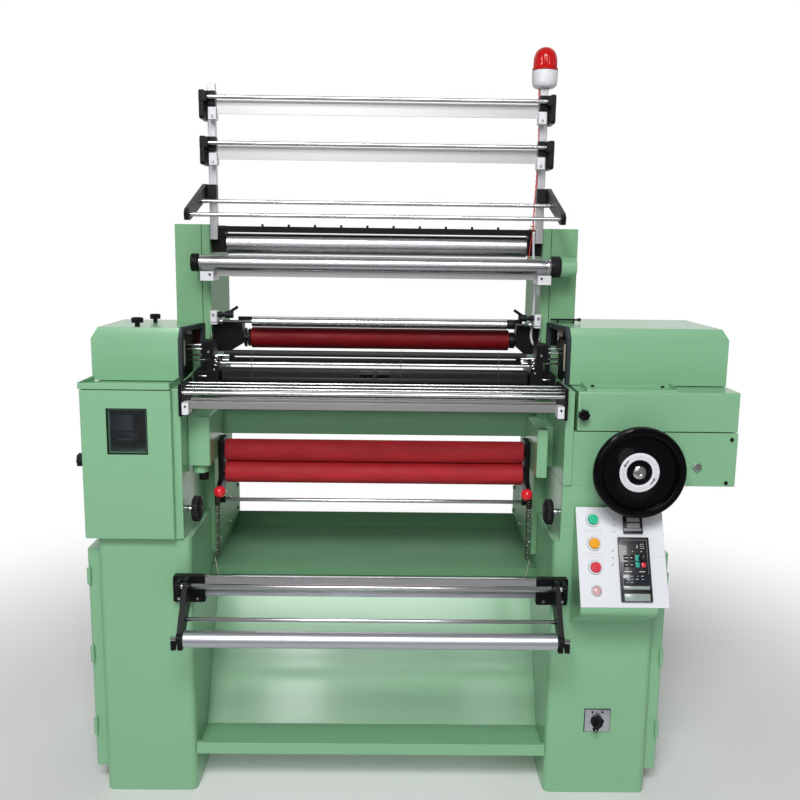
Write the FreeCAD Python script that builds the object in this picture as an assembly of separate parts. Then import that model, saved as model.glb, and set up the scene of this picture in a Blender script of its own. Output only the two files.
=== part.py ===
"""Warp knitting (crochet) machine for narrow fabrics, with its own frame in millimetres.

X runs along the knitting width, Y from the operator to the back and Z up from the floor.
Places are first given from the machine's middle (X = 0 between the pillars, Y = 0 at the
pedestals' front faces, Z = 0 at the floor), and every piece is then moved so that the origin
lies on the floor under the middle of the machine's box.
"""

import FreeCAD, Part
import math
import os

V = FreeCAD.Vector

# ---------------------------------------------------------------- driving dimensions
ORIGIN_X, ORIGIN_Y = 86.0, 244.0         # where the row's origin lies, from the machine's middle

PILLAR_IN, PILLAR_OUT = 440.0, 532.0     # half gap between the pillars, and to their outer faces
PILLAR_FRONT, PILLAR_BACK = 250.0, 530.0
PILLAR_TOP = 1466.0
PED_IN = 455.0                           # half gap between the pedestals
PED_LEFT, PED_RIGHT = -690.0, 722.0      # outer faces of the two pedestals
PED_DEPTH, PED_TOP = 650.0, 690.0
WALL_IN = 470.0                          # inner walls of the cabinet and of the gearbox
CASE_BOTTOM, CASE_SPLIT, CASE_TOP = 836.0, 972.0, 1072.0
CASE_LEFT, CASE_RIGHT, CASE_BACK = 491.0, 900.0, 400.0
CABINET_LEFT, CABINET_BACK, CABINET_TOP = -706.0, 345.0, 1068.0
HOOD_FRONT = 96.0                        # front faces of both hoods
HOOD_END, TRIM = 496.0, 10.0             # open ends of the hoods, and their edge trim
SHEET = 2.0                              # hoods and doors
PLATE = 6.0                              # pedestals' walls
RUN = 0.05                               # running clearance on a radius
FREE = 0.3                               # gap between curved faces of different bodies

KNIT_HALF = 390.0                        # half length of the needle comb, for a 762 mm bed
POST = 20.0                              # square posts
POST_FRONT, POST_BOTTOM, POST_TOP = 255.0, 1427.0, 1822.0
BAR_LEVELS = (1783.0, 1670.0)            # the two yarn guide bars on the posts

MAIN_SHAFT_YZ, MAIN_SHAFT_R = (290.0, 1000.0), 15.0
WHEEL_XZ, WHEEL_R = (639.0, 889.0), 112.0
MOTOR_YZ, MOTOR_R = (290.0, 115.0), 66.0
BELT_X = (680.0, 702.0)
PULLEY_R, MOTOR_PULLEY_R = 58.0, 35.0

FEED_REAR_YZ, FEED_REAR_R = (300.0, 1417.0), 28.0
FEED_FRONT_YZ, FEED_FRONT_R = (190.0, 1368.0), 20.0
GUIDE_ROLLER_YZ, GUIDE_ROLLER_R = (245.0, 1212.0), 13.0
REAR_ROLLER_YZ, REAR_ROLLER_R = (287.0, 1166.0), 28.0
TAKEUP_Y, TAKEUP_R = 200.0, 29.5
TAKEUP_Z = (872.0, 812.6)                # upper and lower take-up rollers
RELEASE_YZ = (120.0, 757.0)
BALL_YZ, BALL_R = (80.0, 788.0), 15.5
TENSION_PIVOT_YZ = (-58.0, 586.0)
TENSION_ROD_YZ = (-112.0, 523.6)
TENSION_ARM = (450.0, 462.0)             # both arms, from the middle outwards
TENSION_Z = (529.0, 598.0)
TENSION_ROLLER_YZ, TENSION_ROLLER_R = (-145.0, 488.0), 20.0

CONSOLE_X, PANEL_RIGHT = (503.0, 690.0), 717.0   # the case, and the wider panel on it
CONSOLE_TOP_YZ = (-10.0, 783.0)          # upper front edge of the sloping panel
CONSOLE_LOW_YZ = (-122.0, 566.0)
BUTTON_X, BUTTON_R = 543.5, 12.5
BUTTON_STEPS = (32.0, 91.0, 149.0)       # down the slope, from the panel's upper edge
LAMP_STEP, LAMP_R = 205.0, 10.5
SPEED_XS = (657.0, 127.0)                # the speed knob, across and down the slope


# ---------------------------------------------------------------- plain shapes
def box(x, y, z):
    """Block between three pairs of limits."""
    return Part.makeBox(x[1] - x[0], y[1] - y[0], z[1] - z[0], V(x[0], y[0], z[0]))


def rod_x(x, yz, radius):
    return Part.makeCylinder(radius, x[1] - x[0], V(x[0], yz[0], yz[1]), V(1, 0, 0))


def rod_y(y, xz, radius):
    return Part.makeCylinder(radius, y[1] - y[0], V(xz[0], y[0], xz[1]), V(0, 1, 0))


def rod_z(z, xy, radius):
    return Part.makeCylinder(radius, z[1] - z[0], V(xy[0], xy[1], z[0]), V(0, 0, 1))


def face_of(points):
    return Part.Face(Part.makePolygon([*points, points[0]]))


def prism_x(x, points_yz):
    return face_of([V(x[0], y, z) for y, z in points_yz]).extrude(V(x[1] - x[0], 0, 0))


def prism_y(y, points_xz):
    return face_of([V(px, y[0], pz) for px, pz in points_xz]).extrude(V(0, y[1] - y[0], 0))


def prism_z(z, points_xy):
    return face_of([V(px, py, z[0]) for px, py in points_xy]).extrude(V(0, 0, z[1] - z[0]))


def bent_sheet(points, thickness):
    """Outline of a folded sheet: the given (y, z) line and its copy offset to the left."""
    def normal(a, b):
        length = math.hypot(b[0] - a[0], b[1] - a[1])
        return (-(b[1] - a[1]) / length, (b[0] - a[0]) / length)

    offset = []
    for i, point in enumerate(points):
        before = normal(points[i - 1], point) if i > 0 else normal(point, points[i + 1])
        after = normal(point, points[i + 1]) if i < len(points) - 1 else before
        mid = (before[0] + after[0], before[1] + after[1])
        scale = 2.0 * thickness / (mid[0] ** 2 + mid[1] ** 2)
        offset.append((point[0] + mid[0] * scale, point[1] + mid[1] * scale))
    return [*points, *reversed(offset)]


def edges_along(shape, axis, test):
    """Straight edges parallel to an axis whose middle passes the test."""
    found = []
    for edge in shape.Edges:
        if len(edge.Vertexes) != 2:
            continue
        along = (edge.Vertexes[1].Point - edge.Vertexes[0].Point)
        if along.Length < 1e-6:
            continue
        along.normalize()
        middle = (edge.Vertexes[1].Point + edge.Vertexes[0].Point) * 0.5
        if abs(along.dot(axis)) > 0.999 and test(middle):
            found.append(edge)
    return found


def mirrored(shape):
    return shape.mirror(V(0, 0, 0), V(1, 0, 0))


def pair(shape):
    return [shape, mirrored(shape)]


def fused(*shapes):
    return shapes[0].multiFuse(list(shapes[1:])).removeSplitter()


def turned(profile, origin, axis, start=V(1, 0, 0)):
    """Solid of revolution: (radius, height) points about an axis through origin."""
    points = [origin + start * r + axis * h for r, h in profile]
    return face_of(points).revolve(origin, axis, 360)


def star_knob(centre, axis, radius, height, stem):
    """Six-lobed clamping knob with a stem of its own behind it."""
    side = V(0, 0, 1) if abs(axis.z) < 0.5 else V(1, 0, 0)
    lobes = [Part.makeCylinder(radius * 0.72, height, centre, axis)]
    for i in range(6):
        turn = FreeCAD.Rotation(axis, 60.0 * i)
        place = centre + turn.multVec(side) * (radius * 0.72)
        lobes.append(Part.makeCylinder(radius * 0.28, height, place, axis))
    neck = Part.makeCylinder(radius * 0.4, stem, centre - axis * stem, axis)
    return fused(*lobes, neck)


# ---------------------------------------------------------------- pedestals and pillars
def plan(side_inner, side_outer, front, back, step_y, step_x):
    """Plan of a case that is notched at its inner back corner for the pillar."""
    return [(side_inner, front), (side_outer, front), (side_outer, back),
            (step_x, back), (step_x, step_y), (side_inner, step_y)]


def pedestal(outer_x, door_x):
    inner_x = math.copysign(PED_IN, outer_x)
    span = sorted((inner_x, outer_x))
    shell = box(span, (0, PED_DEPTH), (0, PED_TOP))
    room = box((span[0] + PLATE, span[1] - PLATE), (PLATE, PED_DEPTH - PLATE), (PLATE, PED_TOP - PLATE))
    if outer_x > 0:
        riser_plan = plan(WALL_IN, outer_x, 0, CASE_BACK, PILLAR_FRONT - 3, PILLAR_OUT + 2)
        riser_room = plan(WALL_IN + PLATE, outer_x - PLATE, PLATE, CASE_BACK - PLATE,
                          PILLAR_FRONT - 3 - PLATE, PILLAR_OUT + 2 + PLATE)
        shell = fused(shell, prism_z((PED_TOP, CASE_BOTTOM), riser_plan))
        room = room.fuse(prism_z((PED_TOP - PLATE - 1, CASE_BOTTOM - PLATE), riser_room))
    shell = shell.makeFillet(18.0, edges_along(shell, V(0, 0, 1), lambda p: p.y < 1 and p.z < PED_TOP / 2 + 80))
    shell = shell.cut(room)
    return shell.cut(box(sorted((outer_x, door_x)), (45, 605), (70, 640)))


def pedestals():
    left = pedestal(PED_LEFT, PED_LEFT + PLATE)
    right = pedestal(PED_RIGHT, PED_RIGHT - PLATE)
    slot_x = (BELT_X[0] - 6, BELT_X[1] + 6)
    right = right.cut(box(slot_x, (210, 370), (CASE_BOTTOM - PLATE, CASE_BOTTOM)))
    right = right.cut(rod_x((WALL_IN, WALL_IN + PLATE), (40, 755), 8 + RUN))
    return {"left_pedestal": left, "right_pedestal": right}


def pillars():
    """Box columns, open at the back, each with a flange bolted inside its pedestal's wall."""
    wall = 12.0
    body = box((-PILLAR_OUT, -PILLAR_IN), (PILLAR_FRONT, PILLAR_BACK), (PED_TOP, PILLAR_TOP))
    body = body.cut(box((-PILLAR_OUT + wall, -PILLAR_IN - wall), (PILLAR_FRONT + wall, PILLAR_BACK),
                        (PED_TOP + wall, PILLAR_TOP - wall)))
    flange = box((-PED_IN, -PILLAR_IN), (PILLAR_FRONT, PED_DEPTH), (568, PED_TOP))
    body = fused(body, flange)
    body = body.cut(rod_x((-PILLAR_OUT, -PILLAR_IN), MAIN_SHAFT_YZ, MAIN_SHAFT_R + RUN))
    right = mirrored(body)
    right = right.cut(box((PED_IN - 20, PILLAR_OUT + 5), (PILLAR_FRONT - 5, CASE_BACK), (PED_TOP - 1, PED_TOP)))
    return {"left_pillar": body, "right_pillar": mirrored(body)}


def panels():
    """The bent sheets between the pedestals: low trough, sloping chute and cloth deck."""
    span = (-PED_IN, PED_IN)
    lip = fused(box(span, (5, 8), (101, 132)), box(span, (8, 14), (129, 132)),
                box(span, (14, 17), (105, 132)), box(span, (17, 146), (105, 108)))
    chute = prism_x(span, bent_sheet([(146, 108.5), (397, 518)], 3.0))
    deck = prism_x(span, bent_sheet([(243, 505), (243, 531), (646, 517), (649.9, 566)], -3.0))
    return {"floor_trough": lip, "chute_panel": chute.cut(lip), "cloth_deck": deck}


# ---------------------------------------------------------------- left cabinet
def cabinet():
    wall = 4.0
    outer = plan(-WALL_IN, CABINET_LEFT, -8, CABINET_BACK, PILLAR_FRONT - 3, -PILLAR_OUT - 2)
    inner = plan(-WALL_IN - wall, CABINET_LEFT + wall, -8 + wall, CABINET_BACK - wall,
                 PILLAR_FRONT - 3 - wall, -PILLAR_OUT - 2 - wall)
    body = prism_z((PED_TOP, CABINET_TOP), outer).cut(prism_z((PED_TOP + wall, CABINET_TOP - wall), inner))
    body = body.cut(box((-698, -494), (-8, -8 + wall), (702, 1056)))
    tray = box((-712, -491), (-25, 95), (CABINET_TOP, CABINET_TOP + 16))
    tray = tray.cut(box((-709.5, -493.5), (-22.5, 96), (CABINET_TOP + 2.5, CABINET_TOP + 17)))
    lip = prism_x((-WALL_IN - wall, -WALL_IN), [(0, CABINET_TOP), (230, CABINET_TOP), (230, 1096), (0, 1077)])
    body = fused(body, tray, lip)
    body = body.cut(rod_x((-WALL_IN - wall, -WALL_IN), (40, 755), 8 + RUN))
    return body.cut(rod_x((-PILLAR_OUT - 2 - wall, -PILLAR_OUT - 2), MAIN_SHAFT_YZ, MAIN_SHAFT_R + FREE))


DOOR_X, DOOR_Z = (-709.0, -489.0), (695.0, 1066.0)
WINDOW_X, WINDOW_Z = (-646.0, -547.0), (908.0, 1022.0)


def cabinet_door():
    """Pan-shaped door; its left flange wraps the cabinet's side and is held by a star knob."""
    pan = box(DOOR_X, (-25, -8.5), DOOR_Z)
    pan = pan.makeFillet(4.0, edges_along(pan, V(0, 0, 1), lambda p: p.y < -24))
    pan = pan.cut(box((DOOR_X[0] + SHEET, DOOR_X[1] - SHEET), (-25 + SHEET, -8), (DOOR_Z[0] + SHEET, DOOR_Z[1] - SHEET)))
    ear = box((DOOR_X[0], DOOR_X[0] + SHEET), (-8.5, 18), (850, 925))
    rebate = box((WINDOW_X[0] - 4, WINDOW_X[1] + 4), (-23, -13), (WINDOW_Z[0] - 4, WINDOW_Z[1] + 4))
    pan = fused(pan, ear, rebate)
    pan = pan.cut(box(WINDOW_X, (-26, -15), WINDOW_Z))
    pan = pan.cut(box((WINDOW_X[0] + 6, WINDOW_X[1] - 6), (-16, -12), (WINDOW_Z[0] + 6, WINDOW_Z[1] - 6)))
    knob = star_knob(V(DOOR_X[0] - 5, 4, 887), V(-1, 0, 0), 17.0, 14.0, 5.0)
    glass = box(WINDOW_X, (-18, -15), WINDOW_Z)
    return {"cabinet_door": [pan, knob], "door_window": glass}


# ---------------------------------------------------------------- hoods
def hood_solid(sign, outer, back, low, bend, top, inset, reach):
    """Hood body: upright walls to the bend, then a steep bevel to the flat top.

    inset draws every wall in, and reach moves the slanting open end towards the middle.
    """
    slant = (29.0 / 151.0)
    end_front = sign * (HOOD_END - reach)

    def ring(z, bevel):
        front = HOOD_FRONT + inset + bevel * 13.0
        side = outer - sign * (inset + bevel * 15.0)
        near = end_front - sign * slant * (front - HOOD_FRONT)
        far = end_front - sign * slant * 151.0
        notch = 247.0 - inset
        pocket = sign * (PILLAR_OUT + 2 + inset)
        points = [(side, front), (near, front), (far, notch), (pocket, notch), (pocket, back - inset), (side, back - inset)]
        return Part.makePolygon([V(px, py, z) for px, py in points + points[:1]])

    lower = Part.makeLoft([ring(low, 0.0), ring(bend - inset * 0.4, 0.0)], True, True)
    upper = Part.makeLoft([ring(bend - inset * 0.4, 0.0), ring(top - inset, 1.0)], True, True)
    return fused(lower, upper)


def hood(sign, outer, back, low, bend, top):
    body = hood_solid(sign, outer, back, low, bend, top, 0.0, 0.0)
    shell = body.cut(hood_solid(sign, outer, back, low - 5, bend, top, SHEET, 3.0))
    edge = hood_solid(sign, outer, back, low, bend, top, 0.0, TRIM)
    edge = edge.cut(hood_solid(sign, outer + sign * 20, back + 20, low - 5, bend + 30, top + 30, 0.0, 0.0))
    edge = edge.cut(hood_solid(sign, outer, back, low - 5, bend, top, 11.0, 30.0))
    edge = edge.common(box(sorted((sign * 440, sign * 500)), (HOOD_FRONT, 246.5), (low, top)))
    return shell, edge


def hoods():
    left_shell, left_edge = hood(-1.0, -714.0, CABINET_BACK, CABINET_TOP + 4, 1178.0, 1206.0)
    right_shell, right_edge = hood(1.0, 896.0, CASE_BACK, CASE_TOP + 2, 1192.0, 1218.0)
    knobs = [star_knob(V(-605, 130, 1216), V(0, 0, 1), 15.5, 12.0, 10.0),
             star_knob(V(-590, 250, 1216), V(0, 0, 1), 14.0, 12.0, 10.0)]
    return {"left_hood": [left_shell, left_edge, *knobs], "right_hood": [right_shell, right_edge]}


# ---------------------------------------------------------------- right gearbox
def gearbox():
    wall = 5.0
    pocket = PILLAR_OUT + 2
    low = prism_z((CASE_BOTTOM, CASE_SPLIT), plan(CASE_LEFT, CASE_RIGHT, 0, CASE_BACK, PILLAR_FRONT - 3, pocket))
    high = prism_z((CASE_SPLIT, CASE_TOP), plan(500, 898, 97, CASE_BACK, PILLAR_FRONT - 3, pocket))
    room_low = prism_z((CASE_BOTTOM + wall, CASE_SPLIT - wall),
                       plan(CASE_LEFT + wall, CASE_RIGHT - wall, wall, CASE_BACK - wall, PILLAR_FRONT - 3 - wall, pocket + wall))
    room_high = prism_z((CASE_SPLIT - wall - 1, CASE_TOP - 3),
                        plan(505, 893, 102, CASE_BACK - wall, PILLAR_FRONT - 3 - wall, pocket + wall))
    cheek = box((WALL_IN, CASE_LEFT), (-5, PILLAR_FRONT - 3), (CASE_BOTTOM, CASE_TOP))
    lip = box((WALL_IN, WALL_IN + 4), (0, 230), (CASE_TOP, 1079))
    case = fused(low, high, cheek, lip).cut(room_low.fuse(room_high))
    case = case.cut(rod_y((0, wall), WHEEL_XZ, 12 + RUN))
    case = case.cut(rod_x((pocket, pocket + wall), MAIN_SHAFT_YZ, MAIN_SHAFT_R + FREE))
    case = case.cut(box((BELT_X[0] - 6, BELT_X[1] + 6), (210, 370), (CASE_BOTTOM, CASE_BOTTOM + wall)))
    plug = rod_y((-5, 0), (802, 887), 12.0)
    return fused(case, plug)


def gearbox_hood():
    """Front cover of the gearbox, with a lipped tray on its top and a star knob."""
    shell = box((500, 898), (-2, 95), (CASE_SPLIT + 3, CASE_TOP))
    shell = shell.makeFillet(5.0, edges_along(shell, V(1, 0, 0), lambda p: p.y < 0 and p.z > 1060)
                             + edges_along(shell, V(0, 0, 1), lambda p: p.y < 0))
    shell = shell.cut(box((500 + SHEET, 898 - SHEET), (-2 + SHEET, 96), (CASE_SPLIT, CASE_TOP - SHEET)))
    tray = box((521, 746), (4, 78), (CASE_TOP, CASE_TOP + 6))
    tray = tray.cut(box((523, 744), (6, 76), (CASE_TOP + SHEET, CASE_TOP + 7)))
    flap = [(4, CASE_TOP), (78, CASE_TOP), (78, CASE_TOP + 14), (4, CASE_TOP + 6)]
    knob = star_knob(V(512, -12, 1017), V(0, -1, 0), 14.0, 13.0, 10.0)
    return [fused(shell, tray, prism_x((521, 523), flap), prism_x((744, 746), flap)), knob]


def side_door(outer_x):
    """Pan door on a pedestal's outer side, with three hinge barrels at its front edge."""
    sign = math.copysign(1.0, outer_x)
    near, far = outer_x + sign * 2, outer_x + sign * 32
    pan = box(sorted((near, far)), (22, 628), (58, 652))
    pan = pan.makeFillet(6.0, edges_along(pan, V(0, 0, 1), lambda p: abs(p.x) > abs(near) + 5))
    pan = pan.cut(box(sorted((near - sign, far - sign * SHEET)), (24, 626), (60, 650)))
    barrels = [rod_z((z, z + 44), (far - sign * 4, 16), 5.0) for z in (150, 350, 560)]
    leaves = [box(sorted((far - sign * 6, far - sign * 3)), (16, 24), (z + 4, z + 40)) for z in (150, 350, 560)]
    return fused(pan, *barrels, *leaves)


# ---------------------------------------------------------------- frame over the knitting zone
def posts_and_bars():
    tube = box((PILLAR_IN - POST, PILLAR_IN), (POST_FRONT, POST_FRONT + POST), (POST_BOTTOM, POST_TOP))
    tube = tube.cut(box((PILLAR_IN - POST + 2, PILLAR_IN - 2), (POST_FRONT + 2, POST_FRONT + POST - 2),
                        (POST_BOTTOM, POST_TOP)))
    clamps, blocks, rods, strips = [], [], [], []
    for z in BAR_LEVELS:
        plate = box((PILLAR_IN, 452), (205, 285), (z - 54, z + 17))
        plate = plate.makeFillet(8.0, edges_along(plate, V(1, 0, 0), lambda p: True))
        cap = box((415, 452), (228, POST_FRONT), (z - 18, z + 17))
        boss = box((432, 452), (203, 228), (z - 12, z + 12))
        clamps += pair(fused(plate, cap, boss))
        blocks += pair(box((412, 432), (222, POST_FRONT), (z - 54, z - 24)))
        rods.append(rod_x((-432, 432), (215, z), 5.0))
        strips.append(box((-412, 412), (234, 238), (z - 39, z - 5)))
    clamps += pair(yarn_arm())
    clamps += pair(clamp_lever())
    rods += [rod_x((-PILLAR_IN, PILLAR_IN), (150, 1521), 5.0), rod_x((-PILLAR_IN, PILLAR_IN), (20, 1484.5), 5.0)]
    blocks += other_blocks()
    strips += [box((-417, 417), (200, 204), (1333, 1348)),
               box((-446, 446), (-12, -6), (1021, 1039)), box((-446, 446), (4, 10), (1030, 1045))]
    return {"posts": pair(tube), "black_clamps": clamps, "end_blocks": blocks,
            "guide_rods": rods, "guide_strips": strips}


def yarn_arm():
    """Arm that holds the yarn rods out in front of a post, with its clamp head."""
    outline = [(228, 1568), (255, 1568), (255, 1530), (228, 1530), (24, 1471), (6, 1471), (2, 1488), (12, 1498)]
    arm = prism_x((PILLAR_IN, 452), outline)
    head = box((416, PILLAR_IN), (228, POST_FRONT), (1531, 1567))
    return fused(arm, head)


def clamp_lever():
    """Ratchet lever on a stud beside the guide roller's clamp."""
    stud = rod_x((402, 421), (241, 1230), 5.0)
    collar = rod_x((409, 420), (241, 1230), 8.0)
    hub = rod_x((380, 402), (241, 1230), 9.0)
    grip = Part.makeCylinder(4.0, 28.0, V(391, 241, 1236), V(-24, 0, 16))
    return fused(stud, collar, hub, grip)


def other_blocks():
    """White end blocks of the low strips, the guide roller's clamps, and the ivory plates."""
    feed = box((417, 451), (168, PILLAR_FRONT), (1322, 1346))
    front = box((446, 462), (-28, 12), (1009, 1038))
    clamp = box((421, PILLAR_IN), (225, 258), (1205, 1241))
    clamp = clamp.makeFillet(5.0, edges_along(clamp, V(0, 0, 1), lambda p: True))
    clamp = clamp.cut(rod_x((421, 438.5), GUIDE_ROLLER_YZ, 4 + RUN))
    left_plate = fused(box((-505, -490), (140, 150), (1105, 1172)), box((-505, -499), (142, 148), (CABINET_TOP, 1105)))
    right_plate = fused(box((488, 505), (140, 150), (1103, 1172)), box((500, 505), (142, 148), (CASE_TOP, 1103)))
    return [*pair(feed), *pair(front), *pair(clamp), left_plate, right_plate]


def beacon():
    centre = V(PILLAR_IN - POST / 2, POST_FRONT + POST / 2, POST_TOP)
    up = V(0, 0, 1)
    base = turned([(0, 0), (19, 0), (26, 3), (31, 9), (33, 17), (33, 44), (0, 44)], centre, up)
    outside = [(33, 44), (33, 50), (30.5, 52), (30.5, 72), (27, 86), (20, 96), (10, 101.5), (0, 103)]
    inside = [(0, 100.5), (9.5, 99), (18.5, 94), (24.8, 84.8), (28, 71.6), (28, 44)]
    lens = turned(outside + inside, centre, up)
    return {"beacon_base": base, "beacon_lens": lens}


def beacon_cable():
    """Lead of the lamp, tied down the inside of the post, then into the pillar's wall."""
    radius, bend = 3.0, 25.0
    x, y, low = 416.0, 262.0, 1150.0
    corner = V(x + bend, y, low + bend)
    middle = corner + V(-math.cos(math.pi / 4), 0, -math.sin(math.pi / 4)) * bend
    start, knee, out, end = V(x, y, POST_TOP), V(x, y, low + bend), V(x + bend, y, low), V(PILLAR_IN, y, low)
    path = Part.Wire([Part.LineSegment(start, knee).toShape(), Part.Arc(knee, middle, out).toShape(),
                      Part.LineSegment(out, end).toShape()])
    ring = Part.Wire([Part.makeCircle(radius, start, V(0, 0, -1))])
    tube = path.makePipeShell([ring], True, False)
    want = math.pi * radius ** 2 * path.Length
    print(f"beacon cable: bend radius {bend} mm, volume {tube.Volume:.0f} of {want:.0f} mm3")
    return tube


# ---------------------------------------------------------------- rollers
def roller(x, yz, radius, shaft_r, shaft_x):
    return fused(rod_x(x, yz, radius), rod_x(shaft_x, yz, shaft_r))


def rollers():
    rear = roller((-402, 402), FEED_REAR_YZ, FEED_REAR_R, 9.0, (-436, 436))
    front = fused(roller((-456, 438), FEED_FRONT_YZ, FEED_FRONT_R, 8.0, (-474, 500)),
                  rod_x((438, 441), FEED_FRONT_YZ, 17.0), rod_x((441, 453), FEED_FRONT_YZ, 20.0),
                  rod_x((453, 475), FEED_FRONT_YZ, 28.0))
    guide = roller((-331, 351), GUIDE_ROLLER_YZ, GUIDE_ROLLER_R, 4.0, (-438, 438))
    red = fused(roller((-338, 360), REAR_ROLLER_YZ, REAR_ROLLER_R, 10.0, (-436, 436)),
                rod_x((-357, -351), REAR_ROLLER_YZ, 26.0), rod_x((-347, -341), REAR_ROLLER_YZ, 24.0),
                rod_x((363, 377), REAR_ROLLER_YZ, 22.0))
    takeup = [roller((-398, 398), (TAKEUP_Y, z), TAKEUP_R, 10.0, (-reach, reach)) for z, reach in zip(TAKEUP_Z, (436, 413))]
    return {"feed_roller_rear": rear, "feed_roller_front": front, "guide_roller": guide,
            "rear_roller": red, "takeup_roller_upper": takeup[0], "takeup_roller_lower": takeup[1]}


def roller_bearings():
    """Pillow blocks on the pillars, the front roller's bearing and the take-up side plates."""
    pillow = box((405, PILLAR_IN), (278, 325), (1394, 1464))
    pillow = pillow.makeFillet(7.0, edges_along(pillow, V(1, 0, 0), lambda p: p.z > 1460))
    pillow = pillow.cut(rod_x((405, 437), FEED_REAR_YZ, 9 + RUN))
    y, z = FEED_FRONT_YZ
    front = fused(rod_x((-476, -458), FEED_FRONT_YZ, 23.0), box((-476, -458), (y, PILLAR_FRONT), (z - 16, z + 16)))
    front = front.cut(rod_x((-475, -458), FEED_FRONT_YZ, 8 + RUN))
    bore = rod_x((-437, 437), REAR_ROLLER_YZ, 10 + RUN)
    left = [(-PILLAR_IN, 1128), (-397, 1128), (-361, 1150), (-361, 1206), (-PILLAR_IN, 1206)]
    right = [(PILLAR_IN, 1130), (403, 1130), (380, 1150), (380, 1207), (PILLAR_IN, 1207)]
    brackets = [prism_y((272, 318), outline).cut(bore) for outline in (left, right)]
    plate = prism_x((402, 414), [(106, 743), (136, 743), (236, 782), (236, 905), (164, 905), (164, 802), (106, 772)])
    for yz, radius in ((RELEASE_YZ, 5), ((TAKEUP_Y, TAKEUP_Z[0]), 10), ((TAKEUP_Y, TAKEUP_Z[1]), 10)):
        plate = plate.cut(rod_x((402, 414), yz, radius + RUN))
    return [*pair(pillow), front, *brackets, *pair(plate)]


def roller_housings():
    """Painted gear housings: two at the take-up rollers, one at the front feed roller."""
    left = fused(box((-WALL_IN, -414), (60, 247), (861, 988)), rod_z((838, 861), (-445, 92), 20.0))
    right = fused(box((414, 442), (60, 247), (838, 963)), box((442, WALL_IN), (150, 247), (845, 955)))
    bore = rod_x((-437, 437), (TAKEUP_Y, TAKEUP_Z[0]), 10 + FREE)
    y, z = FEED_FRONT_YZ
    drum = fused(rod_x((477, 517), FEED_FRONT_YZ, 25.0), box((477, 517), (y, PILLAR_FRONT), (z - 25, z + 25)))
    drum = drum.cut(rod_x((477, 502), FEED_FRONT_YZ, 8 + RUN))
    soft = [shape.makeFillet(5.0, edges_along(shape, V(0, 0, 1), lambda p: p.y < 61)) for shape in (left, right)]
    return [soft[0].cut(bore), soft[1].cut(bore), drum]


def presser_bar():
    bar = box((-405, 405), (279, 295), (1447, 1463))
    screws = [rod_z((1463, 1469), (-306 + 70 * i, 287), 3.2) for i in range(10)]
    return fused(bar, *screws)


# ---------------------------------------------------------------- knitting zone
BLOCK_IN, BLOCK_OUT = 398.0, 448.0       # stepped end blocks of the bed
WEFT_RODS_YZ = ((175.0, 1117.0), (175.0, 1129.0))
FIXED_RODS_YZ = ((175.0, 1145.0), (175.0, 1156.0))


def bed():
    """Bed beam with its end blocks, upper rail, and the side plates that hold the front rods."""
    beam = box((-WALL_IN, WALL_IN), (150, 225), (1040, 1090))
    block = fused(box((BLOCK_IN, 430), (114, 215), (1090, 1124)), box((BLOCK_IN, 430), (114, 150), (1066, 1090)),
                  box((418, BLOCK_OUT), (150, 215), (1124, 1168)))
    for yz in WEFT_RODS_YZ:
        block = block.cut(rod_x((BLOCK_IN, BLOCK_OUT), yz, 3 + FREE))
    rail = box((-BLOCK_IN, BLOCK_IN), (192, 212), (1126, 1140))
    side = box((462, WALL_IN), (-28, 100), (1004, 1082))
    return [beam, *pair(block), rail, *pair(side)]


def front_rods():
    """Bright rods: three thin ones and the breast bar, the needle rod and the shog rods."""
    thin = [rod_x((-462, 462), yz, 2.5) for yz in ((60, 1074), (24, 1072), (8, 1067))]
    breast = rod_x((-462, 462), (-20, 1061.5), 5.0)
    needle = rod_x((-BLOCK_IN, BLOCK_IN), (132, 1115), 4.0)
    shog = [rod_x((BLOCK_OUT, 490), yz, 3.0) for yz in FIXED_RODS_YZ]
    return [*thin, breast, needle, *shog, *[mirrored(rod) for rod in shog]]


def needle_comb():
    """Needle comb: a wall with two fields of 60 gaps, on the plate that carries it."""
    gaps, centre_gap, post_gap = 60, 38.0, 2.2
    wall = box((-KNIT_HALF, KNIT_HALF), (108, 112), (1073, 1108))
    pitch = (KNIT_HALF - centre_gap - 6) / gaps
    cuts = [box((-centre_gap, centre_gap), (107, 113), (1082, 1109))]
    for side in (-1, 1):
        for i in range(gaps):
            x = side * (centre_gap + 4 + pitch * (i + 0.5))
            cuts.append(box((x - post_gap / 2, x + post_gap / 2), (107, 113), (1084, 1103)))
    plate = box((-388, 388), (112, 205), (1091, 1095))
    foot = box((-388, 388), (112, 115), (1073, 1091))
    centre = box((-6, 6), (106, 112), (1082, 1106))
    return fused(wall.cut(Part.makeCompound(cuts)), foot, plate, centre)


def weft_bar():
    bar = box((-380, 380), (160, 188), (1110, 1124))
    rods = []
    for yz in WEFT_RODS_YZ:
        rods += [rod_x((376, 486), yz, 3.0), rod_x((-486, -376), yz, 3.0)]
    riser = [box(sorted((s * 368, s * 380)), (168, 182), (1124, 1134)) for s in (-1, 1)]
    return fused(bar, *riser, *rods)


# ---------------------------------------------------------------- take-off controls
def release_levers():
    """Cross rod with two levers that end in balls; it frees the take-up rollers."""
    y, z = RELEASE_YZ
    rod = rod_x((-413, 413), RELEASE_YZ, 5.0)
    reach = math.hypot(BALL_YZ[0] - y, BALL_YZ[1] - z)
    lever = Part.makeCylinder(4.0, reach, V(395, y, z), V(0, BALL_YZ[0] - y, BALL_YZ[1] - z))
    hub = rod_x((388, 401.5), RELEASE_YZ, 9.0)
    ball = Part.makeSphere(BALL_R, V(395, *BALL_YZ))
    return fused(rod, lever, mirrored(lever), hub, mirrored(hub), ball, mirrored(ball))


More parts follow.
